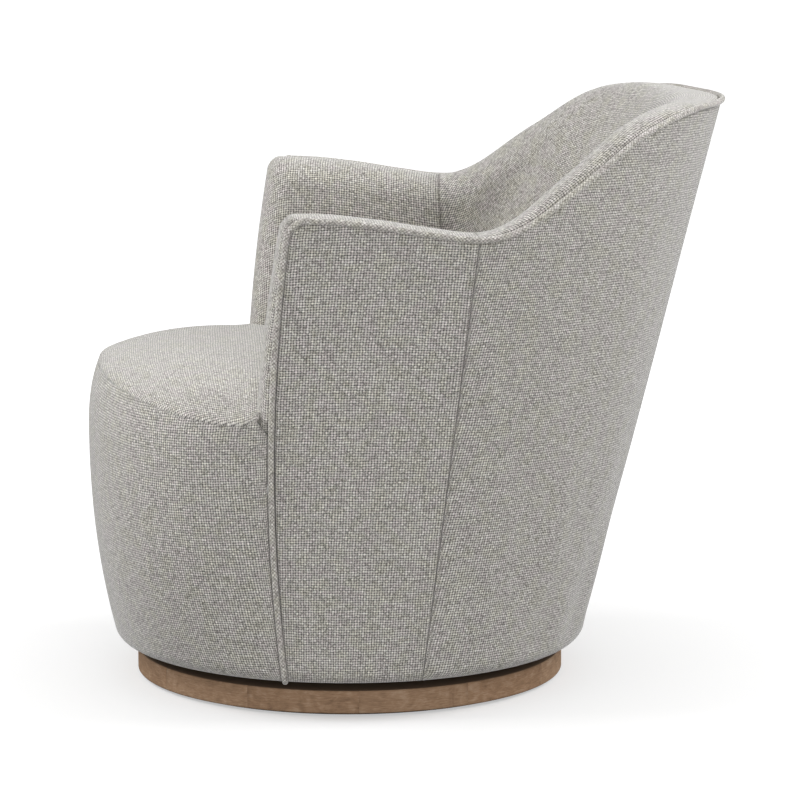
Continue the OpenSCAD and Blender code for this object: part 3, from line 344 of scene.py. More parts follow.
def lay_cloth(face, middle, follow=0.5):
    """Weave coordinates in millimetres for a grid of points: lengths along the rows from the
    middle column, and up the columns. follow is how far the upright threads keep to them."""
    along = np.linalg.norm(np.diff(face, axis=1), axis=-1)
    u = np.concatenate([np.zeros((len(face), 1)), np.cumsum(along, 1)], 1)
    u -= u[:, middle : middle + 1]
    u = mix(u, u[len(face) // 2][None], follow)
    up = np.linalg.norm(np.diff(face, axis=0), axis=-1)
    v = np.concatenate([np.zeros((1, face.shape[1])), np.cumsum(up, 0)], 0)
    return np.stack([u, v], -1)


def placed(name, data):
    """Object of the given data, put into the scene."""
    made = bpy.data.objects.new(name, data)
    bpy.context.scene.collection.objects.link(made)
    return made


def new_mesh(name, points, faces=(), edges=()):
    """Mesh from points in millimetres."""
    mesh = bpy.data.meshes.new(name)
    mesh.from_pydata((np.reshape(points, (-1, 3)) * MM).tolist(), edges, faces)
    return mesh


def new_piece(name, points, faces, cloth):
    """Mesh object from points in millimetres, smooth shaded, with its faces outwards and the
    weave coordinates of its points as a UV map in metres."""
    mesh = new_mesh(name, points, faces)
    loops = np.zeros(len(mesh.loops), int)
    mesh.loops.foreach_get("vertex_index", loops)
    layer = mesh.uv_layers.new(name="weave")
    layer.data.foreach_set("uv", (np.reshape(cloth, (-1, 2)) * MM)[loops].ravel())
    work = bmesh.new()
    work.from_mesh(mesh)
    bmesh.ops.recalc_face_normals(work, faces=work.faces)
    work.to_mesh(mesh)
    work.free()
    mesh.shade_smooth()
    return placed(name, mesh)


def quads(index):
    """Faces between the neighbours in a grid of point numbers."""
    corners = [index[:-1, :-1], index[:-1, 1:], index[1:, 1:], index[1:, :-1]]
    return np.stack(corners, -1).reshape(-1, 4)


def shell(name, face, back, cloth):
    """Closed piece between two matching grids of points."""
    rows, cols = face.shape[:2]
    count = rows * cols
    index = np.arange(count).reshape(rows, cols)
    skin = quads(index)
    border = np.concatenate([index[0], index[1:, -1], index[-1, -2::-1], index[-2:0:-1, 0]])
    after = np.roll(border, -1)
    edge = np.stack([border, border + count, after + count, after], -1)
    faces = np.concatenate([skin, skin[:, ::-1] + count, edge]).tolist()
    return new_piece(name, np.stack([face, back]), faces, np.stack([cloth, cloth]))


def every(count, step):
    """Indices from 0 to count - 1, about step apart, with both ends."""
    return np.unique(np.linspace(0, count - 1, max(3, round(count / step))).round().astype(int))


def spread(coarse, rows, cols, shape):
    """Values known at some rows and columns of a grid, spread smoothly over all of it."""
    wide = np.empty((len(rows), shape[1], 3))
    for i, k in np.ndindex(len(rows), 3):
        wide[i, :, k] = np.interp(np.arange(shape[1]), cols, coarse[i, :, k])
    full = np.empty((*shape, 3))
    for j, k in np.ndindex(shape[1], 3):
        full[:, j, k] = np.interp(np.arange(shape[0]), rows, wide[:, j, k])
    for _ in range(Tub.smoothings):
        full[1:-1] = (full[:-2] + 2 * full[1:-1] + full[2:]) / 4
        full[:, 1:-1] = (full[:, :-2] + 2 * full[:, 1:-1] + full[:, 2:]) / 4
    return full


def filled_out(face, inward, cap, closed=False):
    """The face of a pad as its cloth lies over the swollen filling. A coarse sheet of it starts up
    to cap millimetres lower, held where it is sewn, all round or, if its columns close into a
    ring, along the first row. Cloth simulation with pressure from inside lifts it by up to that
    much towards the size it was cut to."""
    t, scene, shape = Tub, bpy.context.scene, face.shape[:2]
    rows, cols = every(shape[0], t.sheet_step), every(shape[1], t.sheet_step)
    cols = cols[:-1] if closed else cols
    sheet, inward = face[np.ix_(rows, cols)], inward[np.ix_(rows, cols)]
    count, place = np.arange(len(rows))[:, None], np.arange(len(cols))[None]
    held = count + 0 * place
    if not closed:
        held = np.minimum(np.minimum(held, count[::-1]), np.minimum(place, place[:, ::-1]))
    room = 1 - (1 - np.minimum(held / t.sewn_rows, 1)) ** 2
    start = sheet + cap * room[..., None] * inward
    index = np.arange(held.size).reshape(held.shape)
    faces = quads(np.concatenate([index, index[:, :1]], 1) if closed else index)
    facing = np.cross(np.diff(sheet, axis=1)[:-1], np.diff(sheet, axis=0)[:, :-1])
    faces = faces[:, ::-1] if (facing * inward[:-1, :-1]).sum() > 0 else faces
    mesh = new_mesh("Sheet", start, faces.tolist())
    cut = placed("Sheet", mesh)
    cut.shape_key_add(name="Packed")
    cut.shape_key_add(name="As cut").data.foreach_set("co", (sheet * MM).ravel())
    cut.vertex_groups.new(name="Sewn").add(index[held == 0].tolist(), 1.0, "REPLACE")
    cloth = cut.modifiers.new("Cloth", "CLOTH").settings
    cloth.vertex_group_mass = "Sewn"
    cloth.rest_shape_key = mesh.shape_keys.key_blocks["As cut"]
    cloth.bending_stiffness = t.cloth_stiffness
    cloth.use_pressure = True
    cloth.uniform_pressure_force = t.filling_pressure
    cloth.effector_weights.gravity = 0
    for step in range(t.settling_frames):
        scene.frame_set(step + 1)
    settled = cut.evaluated_get(bpy.context.evaluated_depsgraph_get())
    places = np.zeros(held.size * 3)
    settled.data.vertices.foreach_get("co", places)
    moved = places.reshape(start.shape) / MM - start
    scene.frame_set(1)
    bpy.data.objects.remove(cut)
    bpy.data.meshes.remove(mesh)
    far = np.linalg.norm(moved, axis=-1, keepdims=True)
    change = start - sheet + moved * np.minimum(1, cap / np.maximum(far, 1e-6))
    if closed:
        cols = np.append(cols, shape[1])
        change = np.concatenate([change, change[:, :1]], 1)
    return face + spread(change, rows, cols, shape)


def pressed_in(face, back):
    """Unit vectors from a pad's face towards its back."""
    way = back - face
    return way / np.linalg.norm(way, axis=-1, keepdims=True)


def finish(piece, body, material, slot, *nodes, fill=None):
    """Gives a piece its material and its body, and hides the frame nodes it stands for. Its slot is
    not used.
    """
    piece.data.materials.clear()
    piece.data.materials.append(material)
    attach(piece, body)
    if nodes:
        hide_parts(*nodes)


CLOTH = "Woven upholstery cloth"
ARMS = (("_left", 1), ("_right", -1))


def upholster(name, face, back, middle, fill, sides=(("", 1),), node=None):
    """Cloth panel between two grids, for each side named, in place of a node of the frame. Its
    weave is laid from the column middle."""
    weave = lay_cloth(face, middle)
    for side, way in sides:
        turn = np.array([way, 1, 1])
        panel = shell("cloth_" + name + side, face * turn, back * turn, weave)
        cloth = bpy.data.materials[CLOTH]
        finish(panel, "chair_body", cloth, "upholstery", (node or name) + side, fill=fill)


# Materials

MATH, NOISE, MIX, RAMP = ("ShaderNode" + k for k in ("Math", "TexNoise", "Mix", "ValToRGB"))
MULTIPLY = {"data_type": "RGBA", "blend_type": "MULTIPLY"}


def colour(text):
    """Linear RGBA of an sRGB hex value."""
    parts = [int(text[i : i + 2], 16) / 255 for i in (1, 3, 5)]
    return [c / 12.92 if c <= 0.04045 else ((c + 0.055) / 1.055) ** 2.4 for c in parts] + [1.0]


def fill_inputs(tree, node, inputs):
    """Links or fills the inputs named. A node given stands for its first output in use."""
    for key, value in inputs.items():
        if isinstance(value, bpy.types.Node):
            value = next(output for output in value.outputs if output.enabled)
        if isinstance(value, bpy.types.NodeSocket):
            tree.links.new(value, node.inputs[key])
        else:
            node.inputs[key].default_value = value


def add(tree, kind, inputs=None, **settings):
    """Adds a node, makes its settings, and links or fills the inputs named."""
    made = tree.nodes.new(kind)
    for name, value in settings.items():
        setattr(made, name, value)
    fill_inputs(tree, made, inputs or {})
    return made


def new_material(name, **sockets):
    """Material with one principled shader, whose constant sockets are set here."""
    material = bpy.data.materials.new(name)
    material.use_nodes = True
    tree = material.node_tree
    tree.nodes.clear()
    constants = {key.replace("_", " "): value for key, value in sockets.items()}
    shader = add(tree, "ShaderNodeBsdfPrincipled", constants)
    add(tree, "ShaderNodeOutputMaterial", {"Surface": shader})
    return material, tree, shader


def set_ramp(node, *stops):
    """Sets a colour ramp's stops from pairs of place and hex colour."""
    elements = node.color_ramp.elements
    while len(elements) < len(stops):
        elements.new(0.5)
    for element, (place, text) in zip(elements, stops):
        element.position = place
        element.color = colour(text)
    return node


def woven_cloth(name, turn=0.0, gap_shade=None):
    """Plain weave of coarse heathered yarn, half linen and half polyester. It gives a grid of light
    crossings with painted shade darkening the yarns' sides and the gaps between them, every yarn of
    its own grey, and no shine."""
    look = bpy.context.scene.rocker_cloth
    material, tree, shader = new_material(
        name, Roughness=0.92, Specular_IOR_Level=0.2, Sheen_Weight=0.6, Sheen_Roughness=0.4
    )
    uv = add(tree, "ShaderNodeUVMap", uv_map="weave")
    per_yarn = (1 / look.warp_pitch, 1 / look.weft_pitch, 1)
    laid = {"Vector": uv, "Rotation": (0, 0, turn), "Scale": per_yarn}
    threads = add(tree, "ShaderNodeMapping", laid)
    # Yarns wander by up to a quarter of their spacing over about ten of them
    wander = add(tree, NOISE, {"Vector": threads, "Scale": 0.11, "Detail": 3.0})
    shifted = {0: wander.outputs["Color"], 1: (0.8, 0.8, 0), 2: threads}
    threads = add(tree, "ShaderNodeVectorMath", shifted, operation="MULTIPLY_ADD")
    part = add(tree, "ShaderNodeSeparateXYZ", {"Vector": threads}).outputs
    wave, across_yarn, turned_up, yarn = {}, {}, {}, {}
    for axis in "XY":
        angle = add(tree, MATH, {0: part[axis], 1: math.pi}, operation="MULTIPLY")
        wave[axis] = add(tree, MATH, {0: angle}, operation="SINE")
        size = add(tree, MATH, {0: wave[axis]}, operation="ABSOLUTE")
        across_yarn[axis] = add(tree, MATH, {0: size, 1: 0.55}, operation="POWER")
        turned_up[axis] = add(tree, MATH, {0: wave[axis]}, operation="SIGN")
        yarn[axis] = add(tree, MATH, {0: part[axis]}, operation="FLOOR")
    # Each yarn goes over and under the next, the two sets at opposite times
    height = {}
    for axis, other, lift in (("X", "Y", 0.4), ("Y", "X", -0.4)):
        over = add(tree, MATH, {0: wave[other], 1: turned_up[axis]}, operation="MULTIPLY")
        lifted = add(tree, MATH, {0: over, 1: lift, 2: 0.6}, operation="MULTIPLY_ADD")
        height[axis] = add(tree, MATH, {0: lifted, 1: across_yarn[axis]}, operation="MULTIPLY")
    pair = {0: height["X"], 1: height["Y"]}
    relief = add(tree, MATH, pair, operation="MAXIMUM")
    upright_over = add(tree, MATH, pair, operation="GREATER_THAN")
    # Heather: fibres of mixed greys run along each yarn for two or three crossings
    tone = {}
    for axis, other, seed in (("X", "Y", 3.0), ("Y", "X", 9.0)):
        own = add(tree, MATH, {0: yarn[axis], 1: 7.31}, operation="MULTIPLY")
        run = add(tree, MATH, {0: part[other], 1: 0.8}, operation="MULTIPLY")
        place = add(tree, "ShaderNodeCombineXYZ", {"X": own, "Y": run, "Z": seed})
        fibres = {"Vector": place, "Scale": 1.0, "Detail": 2.0, "Roughness": 0.7}
        tone[axis] = add(tree, NOISE, fibres)
    mixed = add(tree, MIX, {0: upright_over, 2: tone["Y"], 3: tone["X"]}, data_type="FLOAT")
    greys = ((0.34, look.dark_yarn), (0.5, look.middle_yarn), (0.66, look.light_yarn))
    # Painted shade: the colour darkens where the weave's relief is low, down the yarns' sides and
    # deepest in the gaps between them
    painted_gap_shade = ((0.3, gap_shade or look.gap_shade), (0.62, "#d8d8d8"), (0.86, "#ffffff"))
    # Slubs: thick and thin places a crossing or two long, which close some gaps and open others
    slub = add(tree, NOISE, {"Vector": threads, "Scale": 1.3, "Detail": 1.0})
    uneven = ((0.28, "#bebebe"), (0.46, "#f4f4f4"), (0.6, "#ffffff"))
    # Warm and cool fibres gather in patches a couple of centimetres wide
    place = add(tree, "ShaderNodeTexCoord").outputs["Object"]
    lot = add(tree, NOISE, {"Vector": place, "Scale": 55.0, "Detail": 1.0})
    tints = ((0.36, "#fcf9fc"), (0.5, "#ffffff"), (0.64, "#fcfcf7"))
    dyed = set_ramp(add(tree, RAMP, {"Fac": mixed}), *greys)
    for value, stops in ((relief, painted_gap_shade), (slub, uneven), (lot, tints)):
        shade = set_ramp(add(tree, RAMP, {"Fac": value}), *stops)
        dyed = add(tree, MIX, {0: 1.0, 6: dyed, 7: shade}, **MULTIPLY)
    raised = {"Height": relief, "Strength": 0.7, "Distance": 0.2 * look.weft_pitch}
    bump = add(tree, "ShaderNodeBump", raised)
    fill_inputs(tree, shader, {"Base Color": dyed, "Normal": bump})
    return material


def plain_finish(name, dark, light, scale, bump, roughness, metallic=0.0):
    """Material for a hard part: two close tones in a fine pattern of the given spacing, in
    metres, which also roughens the surface."""
    material, tree, shader = new_material(name, Roughness=roughness, Metallic=metallic)
    place = add(tree, "ShaderNodeTexCoord").outputs["Object"]
    pattern = add(tree, NOISE, {"Vector": place, "Scale": 1 / scale, "Detail": 4.0})
    tones = set_ramp(add(tree, RAMP, {"Fac": pattern}), (0.35, dark), (0.65, light))
    raised = add(tree, "ShaderNodeBump", {"Height": pattern, "Strength": 0.3, "Distance": bump})
    fill_inputs(tree, shader, {"Base Color": tones, "Normal": raised})
    return material


class ClothSettings(bpy.types.PropertyGroup):
    """The upholstery cloth and its seams."""

    warp_pitch: FloatProperty(
        name="Warp", description="Between upright yarns", default=0.0035, min=0.001, unit="LENGTH"
    )
    weft_pitch: FloatProperty(
        name="Weft", description="Between level yarns", default=0.00325, min=0.001, unit="LENGTH"
    )
    dark_yarn: StringProperty(
        name="Dark yarn", description="sRGB colour of the darkest fibres", default="#aaa69f"
    )
    middle_yarn: StringProperty(
        name="Middle yarn", description="sRGB colour of most fibres", default="#dedad3"
    )
    light_yarn: StringProperty(
        name="Light yarn", description="sRGB colour of the lightest fibres", default="#fbf8f2"
    )
    # Painted shade for the gaps between the yarns
    gap_shade: StringProperty(
        name="Gap shade", description="Shade of the gaps between the yarns", default="#161412"
    )
    # Painted shade for the gaps of the piping's weave, lighter than the cloth's
    piping_gap_shade: StringProperty(
        name="Piping gap shade", description="Shade of the gaps where the cloth covers the cord",
        default="#aeaba6",
    )
    piping_diameter: FloatProperty(
        name="Piping", description="Diameter of the welt piping", default=0.008, unit="LENGTH"
    )
    stitch_pitch: FloatProperty(
        name="Stitch", description="One stitch with its gap", default=0.0045, unit="LENGTH"
    )
    thread: FloatProperty(
        name="Thread", description="Thickness of the seam's thread", default=0.0009, unit="LENGTH"
    )
    staple_pitch: FloatProperty(
        name="Staples", description="Between the dust cover's staples", default=0.045, unit="LENGTH"
    )


def stretched(top, rise, side, inside, place, seam_r=Tub.turn_r, waves=lambda z: 0):
    """Face and back of a panel stretched over the body, from its lip under the foot up to the
    height top of each column. side is the depth of its face near its side edges, inside that of
    its back, and place gives the points at heights and depths."""
    t = Tub
    angle = np.linspace(0, 90, 9)[:, None]
    share = angle / 90
    level = np.ones((1, len(top)))
    under, zero = [[t.foot_ease + t.lip_w]], [[0]]
    rows = spaced(rise, t.face_step)[len(t.turn_shares) :, None] / rise
    z = mix(t.body_z + t.foot_ease, top, rows)
    d = np.maximum(turned(top - z, seam_r), side) + waves(z)
    lip_d = np.concatenate([under, t.foot_ease * (1 - sind(angle))])
    lip_d = lip_d + side * np.concatenate([zero, share])
    lip_h = np.concatenate([zero, t.foot_ease * (1 - cosd(angle))])
    face = place(np.concatenate([t.body_z + lip_h * level, z]), np.concatenate([lip_d, d]))
    back_d = np.concatenate([under, mix(t.foot_ease + t.skin_gap, inside, share)])
    back_h = np.concatenate([[[t.lip_t]], mix(t.lip_t, t.foot_ease, share)])
    depth = np.concatenate([back_d * level, 0 * z + inside])
    return face, place(np.concatenate([t.body_z + back_h * level, z]), depth)


class ROCKER_OT_outside_panels(bpy.types.Operator):
    """Makes the three padded panels round the outside of the tub"""

    bl_idname = "rocker.outside_panels"
    bl_label = "Outside panels"

    def execute(self, context):
        woven_cloth(CLOTH)
        t = Tub
        y = spaced(t.arm_run, t.face_step)
        s = y / t.arm_run * (1 - t.seam_s / 4)
        face, back = self.grid(s, turned(np.minimum(y, y[-1] - y)), arm_edge)
        upholster("outside_arm", face, back, len(s) // 2, t.outside_fill, ARMS)

        # The back is felled beside the side seams: its columns crowd at the stitched groove
        run, felled = t.outside_run, t.fell_w
        y = half_spaced(run, t.face_step)
        y = y[(y < felled - t.groove_room[0]) | (y > felled + t.groove_room[1])]
        y = np.sort(np.append(y, felled + np.array(t.groove_steps)))
        s = 1 + mix(t.seam_s / 4, 1, y / run)
        groove = t.fell_depth * np.exp(-(((y - felled) / t.groove_w) ** 2))
        face, back = self.grid(s, np.maximum(turned(y, t.seam_turn_r), groove))
        face, back = both_sides(face), both_sides(back)
        upholster("outside_back", face, back, len(s) - 1, t.outside_fill)
        return {"FINISHED"}

    def grid(self, s, side, edge=lambda z: 0):
        """Face and back of a panel with columns at s, which starts at s = edge at each height."""
        t = Tub
        return stretched(
            rim(s) - t.welt_r - t.hair, t.outside_rise, side, t.panel_t,
            lambda z, d: at(mix(edge(z), 1, s), z, d), waves=lambda z: slack(s, z),
        )


class ROCKER_OT_seat_front(bpy.types.Operator):
    """Makes the padded front of the seat, between the arms' front edges"""

    bl_idname = "rocker.seat_front"
    bl_label = "Seat front"

    def execute(self, context):
        t = Tub
        y = half_spaced(t.front_run, t.face_step)
        share = y / t.front_run
        top = seat_seam(mix(band_edge(t.seam_side_z), 90, share)) - t.hair
        face, back = stretched(
            top, t.front_rise, turned(y), t.front_t,
            lambda z, d: drum_at(mix(band_edge(z), 90, share), z, d), seam_r=t.seat_seam_r,
        )
        face, back = both_sides(face), both_sides(back)
        node = "seat_front_band"
        upholster("seat_front", face, back, len(y) - 1, t.outside_fill, node=node)
        return {"FINISHED"}


def roll_lift(s):
    """Rise of the roll above the welt."""
    return Tub.roll_rise * np.where(s < 1, 1, spline(Tub.back_roll_shares, s - 1))


def roll(q, first, crest, r, rise_h):
    """Share of the thickness and height above the rim of a padded roll: q is 0 at the welt, 1 on
    the crest and 2 where the roll has turned down the inside."""
    up, down = 90 * np.clip(q, 0, 1), 90 * np.clip(q - 1, 0, 1)
    share = np.where(q < 1, mix(first, crest, 1 - cosd(up)), mix(crest, 1, sind(down)))
    height = np.where(q < 1, rise_h * sind(up), rise_h - r * (1 - cosd(down)))
    return share, height


def inside_column(s, q):
    """Share and height of an inside panel at s: q goes on from 2 to 3 down to the seat."""
    around = ease(np.clip(s - 1, 0, 1))
    crest = mix(Tub.arm_crest_share, Tub.back_crest_share, around)
    r = mix(Tub.arm_roll_r, Tub.back_roll_r, around)
    width = np.linalg.norm(outer(s, rim(s)) - inner(s, rim(s)), axis=-1)
    first = (Tub.welt_r + Tub.skin_gap) / width
    lift = roll_lift(s)
    share, height = roll(q, first, crest, r, lift)
    low = rim(s) + lift - r
    z = np.where(q < 2, rim(s) + height, mix(low, Tub.seam_side_z + 1, np.clip(q - 2, 0, 1)))
    return share, z


def inside_lining(s, q):
    """Depth and height of the same panel's back, over the frame."""
    t = Tub
    depths = [t.panel_t - t.skin_gap, t.frame_d, t.frame_d, t.web_d, t.web_d]
    drops = [t.skin_gap, t.skin_gap, t.cap_drop, t.cap_drop]
    depth = np.interp(q, [0, 0.2, 0.4, 2, 3], depths)
    under = rim(s) - np.interp(q, [0, 0.2, 0.4, 2], drops)
    z = np.where(q < 2, under, mix(under, t.seam_side_z + 1, np.clip(q - 2, 0, 1)))
    return depth + 0 * z, z


class ROCKER_OT_inside_panels(bpy.types.Operator):
    """Makes the padded inside of the arms and the back, with the roll over the rim"""

    bl_idname = "rocker.inside_panels"
    bl_label = "Inside panels"

    def execute(self, context):
        t = Tub
        q = np.append(np.linspace(0, 2, t.roll_rows), np.linspace(2, 3, t.pad_rows)[1:])[:, None]
        below = t.roll_rows - 1
        y = half_spaced(t.back_run, t.pad_step)
        s = 1 + mix(t.seam_s / 4, 1, y / t.back_run)[None]
        share, z = inside_column(s, q)
        face = both_sides(across(s, z, share, 0))
        depth, under = inside_lining(s, q)
        back = both_sides(at(s, under, depth))
        face[below:] = filled_out(face[below:], pressed_in(face, back)[below:], t.pad_cap)
        upholster("inside_back", face, back, len(y) - 1, t.inside_fill)

        face, back = self.arm(q)
        flat = (slice(below, None), slice(t.wrap_columns - 1, None))
        face[flat] = filled_out(face[flat], pressed_in(face, back)[flat], t.pad_cap)
        upholster("inside_arm", face, back, face.shape[1] - 1, t.inside_fill, ARMS)
        return {"FINISHED"}

    def arm(self, q):
        """Grid of an inside arm, whose first columns wrap the front of the arm."""
        t = Tub
        wrap = np.linspace(0, 2, t.wrap_columns)
        first = (t.welt_r + t.skin_gap) / np.linalg.norm(outer(0, rim(0)) - inner(0, rim(0)))
        share_w, turn_back = roll(wrap, first, t.arm_crest_share, t.arm_roll_r, 0)
        roll_end = (t.arm_roll_r - t.front_pad_top) / t.arm_run
        y = np.linspace(0, 1, t.arm_columns)[1:]
        s_on = mix(roll_end, 1 - t.seam_s / 4, y)
        bulge = np.where(wrap < 1, sind(90 * wrap), 1)
        flat_back = np.maximum(0, -turn_back / t.arm_run)
        s_col = np.concatenate([flat_back, s_on])[None]
        share, z = inside_column(s_col, q)
        up = np.clip((z - t.seam_side_z) / (t.arm_z - t.seam_side_z), 0, 1)
        pad = mix(t.front_pad_low, t.front_pad_top, up)
        wrapped = np.concatenate([np.ones(len(wrap)), np.zeros(len(y))])[None]
        forward = pad * np.concatenate([bulge, 0 * y]) + np.concatenate([turn_back, 0 * y])
        forward = forward * wrapped
        s = np.maximum(np.where(wrapped > 0, 0, s_col), -forward / t.arm_run)
        share_col = np.concatenate([share_w, np.ones(len(y))])[None]
        tucked = np.clip((q - t.tuck_start) / (3 - t.tuck_start), 0, 1) * wrapped
        z = z - t.tuck_drop * tucked
        share = np.maximum(np.maximum(share * share_col, first), t.tuck_share * tucked)
        face = across(s, z, share, np.maximum(forward, 0))
        edge, cap = (t.welt_r - t.skin_gap) / t.arm_run, t.cap_drop / t.arm_run
        part = np.minimum(wrap / 2, 1)
        s_back = np.concatenate([mix(edge, cap, part), mix(cap, 1 - t.seam_s / 4, y)])[None]
        depth, under = inside_lining(s_back, q)
        limit = mix(t.panel_t + t.skin_gap, t.web_d, np.concatenate([part, 1 + 0 * y]))[None]
        return face, at(s_back, under, np.minimum(depth, limit))


def seat_outline(count=64):
    """The seat's edge as columns of x, y and z, and where its front part ends."""
    t = Tub
    a = np.linspace(t.tuck_angles[1], 180 - t.tuck_angles[1], count)
    q = np.where(a > 90, 180 - a, a)
    z = seat_seam(q)
    p = drum(q, z)
    side = np.where(a > 90, -1, 1)
    front = np.stack([side * p[:, 0], np.minimum(p[:, 1], -t.tuck_y - t.skin_gap), z], -1)
    s = np.concatenate([np.linspace(0, 1, count // 2), 1 + np.linspace(0, 1, count // 2)[1:]])
    p = inner(s, t.seat_ref_z)
    x = p[:, 0] - 1
    y = p[:, 1] - np.where(s > 1, sind(90 * (s - 1)), 0)
    y[0] = -t.tuck_y
    left = np.stack([x, y], -1)
    rear = np.concatenate([left * [-1, 1], left[-2::-1]])
    rear = np.concatenate([rear, cushion_z(rear[:, 0], rear[:, 1])[:, None]], 1)
    return np.concatenate([front, rear[1:-1]]), count


def cushion_z(x, y):
    """Height of the seat behind the arms' front edges."""
    t = Tub
    back = np.clip((y + t.tuck_y) / (seat_back_y() + t.tuck_y), 0, 1)
    power = mix(t.side_power, 2, ease(back))
    out = mix(t.side_out, 1, ease(back))
    across_it = np.maximum(0, 1 - np.abs(x / outer(0, t.seam_side_z)[0]) ** power) ** out
    return mix(t.seam_side_z, t.dome_z, across_it) - t.rear_drop * back**3


class ROCKER_OT_seat(bpy.types.Operator):
    """Makes the domed seat cushion"""

    bl_idname = "rocker.seat"
    bl_label = "Seat"

    def execute(self, context):
        t = Tub
        edge, front_count = seat_outline()
        centre = np.array([0, -t.tuck_y])
        is_front = np.arange(len(edge)) < front_count
        a = np.degrees(np.arctan2(-(edge[:, 1] + t.tuck_y), np.abs(edge[:, 0])))
        f = np.maximum(sind(np.where(is_front, a, 0)), 0) ** t.seam_power
        power, out = mix(t.side_power, t.front_power, f), mix(t.side_out, t.front_out, f)
        share = 1 - np.linspace(0, 1, t.seat_rings)[:-1, None] ** t.ring_crowding
        xy = centre + share[..., None] * (edge[None, :, :2] - centre)
        dome = np.maximum(0, 1 - share**power) ** out
        z = np.where(is_front, mix(edge[:, 2], t.dome_z, dome), cushion_z(xy[..., 0], xy[..., 1]))
        top = np.concatenate([xy, z[..., None]], -1)
        top = filled_out(top, np.zeros_like(top) - [0, 0, 1], t.seat_cap, closed=True)
        length = np.linalg.norm(edge[:, :2] - centre, axis=1)
        shrink = np.where(is_front, 1 - t.seat_inset / length, 1)[:, None]
        inside = centre + shrink * (edge[:, :2] - centre)
        under = np.concatenate([inside, edge[:, 2:] - t.seat_skin_t], 1)
        base = np.concatenate([inside, 0 * edge[:, 2:] + t.seat_base_z], 1)
        rings = np.concatenate([base[None], under[None], top])
        poles = [[0, -t.tuck_y, t.dome_z], [0, -t.tuck_y, t.seat_base_z]]
        points = np.concatenate([rings.reshape(-1, 3), poles])
        index = np.arange(rings.size // 3).reshape(rings.shape[:2])
        after = np.roll(index, -1, 1)
        faces = quads(np.concatenate([index, index[:, :1]], 1)).tolist()
        faces += [[i, j, len(points) - 2] for i, j in zip(index[-1], after[-1])]
        faces += [[j, i, len(points) - 1] for i, j in zip(index[0], after[0])]
        # The cloth of the front shoulder was cut flat, so its weave bends down with the dome
        drop = t.dome_z - points[:, 2]
        ahead = np.clip((-t.tuck_y - points[:, 1]) / t.shoulder_run, 0, 1)
        weave = np.stack([points[:, 0], points[:, 1] - t.shoulder_bend * drop * ahead], -1)
        seat = new_piece("cloth_seat", points, faces, weave)
        cloth = bpy.data.materials[CLOTH]
        finish(seat, "chair_body", cloth, "upholstery", "seat_top", fill=t.seat_fill)
        return {"FINISHED"}


def new_tree(name, *lengths):
    """Geometry Nodes tree for round pieces along a line, with the further lengths named as
    inputs. With it come its inputs' identifiers and sockets, the line as a curve and the radius."""
    tree = bpy.data.node_groups.new(name, "GeometryNodeTree")
    kinds = {"Line": "Geometry", "Material": "Material", "Sides": "Int", "Thickness": "Float"}
    kinds.update(dict.fromkeys(lengths, "Float"))
    ids = {}
    for key, kind in kinds.items():
        socket = tree.interface.new_socket(key, in_out="INPUT", socket_type="NodeSocket" + kind)
        ids[key] = socket.identifier
    tree.interface.new_socket("Pieces", in_out="OUTPUT", socket_type="NodeSocketGeometry")
    given = add(tree, "NodeGroupInput").outputs
    line = add(tree, "GeometryNodeMeshToCurve", {"Mesh": given["Line"]})
    radius = add(tree, MATH, {0: given["Thickness"], 1: 0.5}, operation="MULTIPLY")
    return tree, ids, given, line, radius


def end_tree(tree, pieces, material):
    """Ends a Geometry Nodes tree with real geometry of one material."""
    whole = add(tree, "GeometryNodeRealizeInstances", {"Geometry": pieces})
    dressed = add(tree, "GeometryNodeSetMaterial", {"Geometry": whole, "Material": material})
    add(tree, "NodeGroupOutput", {"Pieces": dressed})


def piping_tree():
    """Geometry Nodes: round piping of a given thickness along a line of points, with its weave
    coordinates along and round it."""
    tree, ids, given, line, radius = new_tree("Piping along a seam")
    circle = {"Resolution": given["Sides"], "Radius": radius}
    ring = add(tree, "GeometryNodeCurvePrimitiveCircle", circle)
    kept = {}
    for key, curve in (("Along", line), ("Round", ring)):
        node = add(tree, "GeometryNodeCaptureAttribute", {"Geometry": curve})
        node.capture_items.new("FLOAT", key)
        length = add(tree, "GeometryNodeSplineParameter").outputs["Length"]
        fill_inputs(tree, node, {key: length})
        kept[key] = node
    sweep = {"Curve": kept["Along"], "Profile Curve": kept["Round"], "Fill Caps": True}
    tube = add(tree, "GeometryNodeCurveToMesh", sweep)
    lengths = {"X": kept["Along"].outputs["Along"], "Y": kept["Round"].outputs["Round"]}
    place = add(tree, "ShaderNodeCombineXYZ", lengths)
    named = {"Geometry": tube, "Name": "weave", "Value": place}
    as_uv = {"data_type": "FLOAT2", "domain": "CORNER"}
    woven = add(tree, "GeometryNodeStoreNamedAttribute", named, **as_uv)
    end_tree(tree, woven, given["Material"])
    return tree, ids


def bars_tree():
    """Geometry Nodes: straight round bars of a given length and thickness, end to end along a
    line of points with a given pitch. They are stitches or staples."""
    tree, ids, given, line, radius = new_tree("Bars along a line", "Pitch", "Length")
    parted = {"Curve": line, "Length": given["Pitch"]}
    places = add(tree, "GeometryNodeResampleCurve", parted, mode="LENGTH")
    along = add(tree, "GeometryNodeInputTangent")
    turn = add(tree, "FunctionNodeAlignRotationToVector", {"Vector": along}, axis="Z")
    rod = {"Vertices": given["Sides"], "Radius": radius, "Depth": given["Length"]}
    bar = add(tree, "GeometryNodeMeshCylinder", rod)
    copies = {"Points": places, "Instance": bar, "Rotation": turn}
    end_tree(tree, add(tree, "GeometryNodeInstanceOnPoints", copies), given["Material"])
    return tree, ids


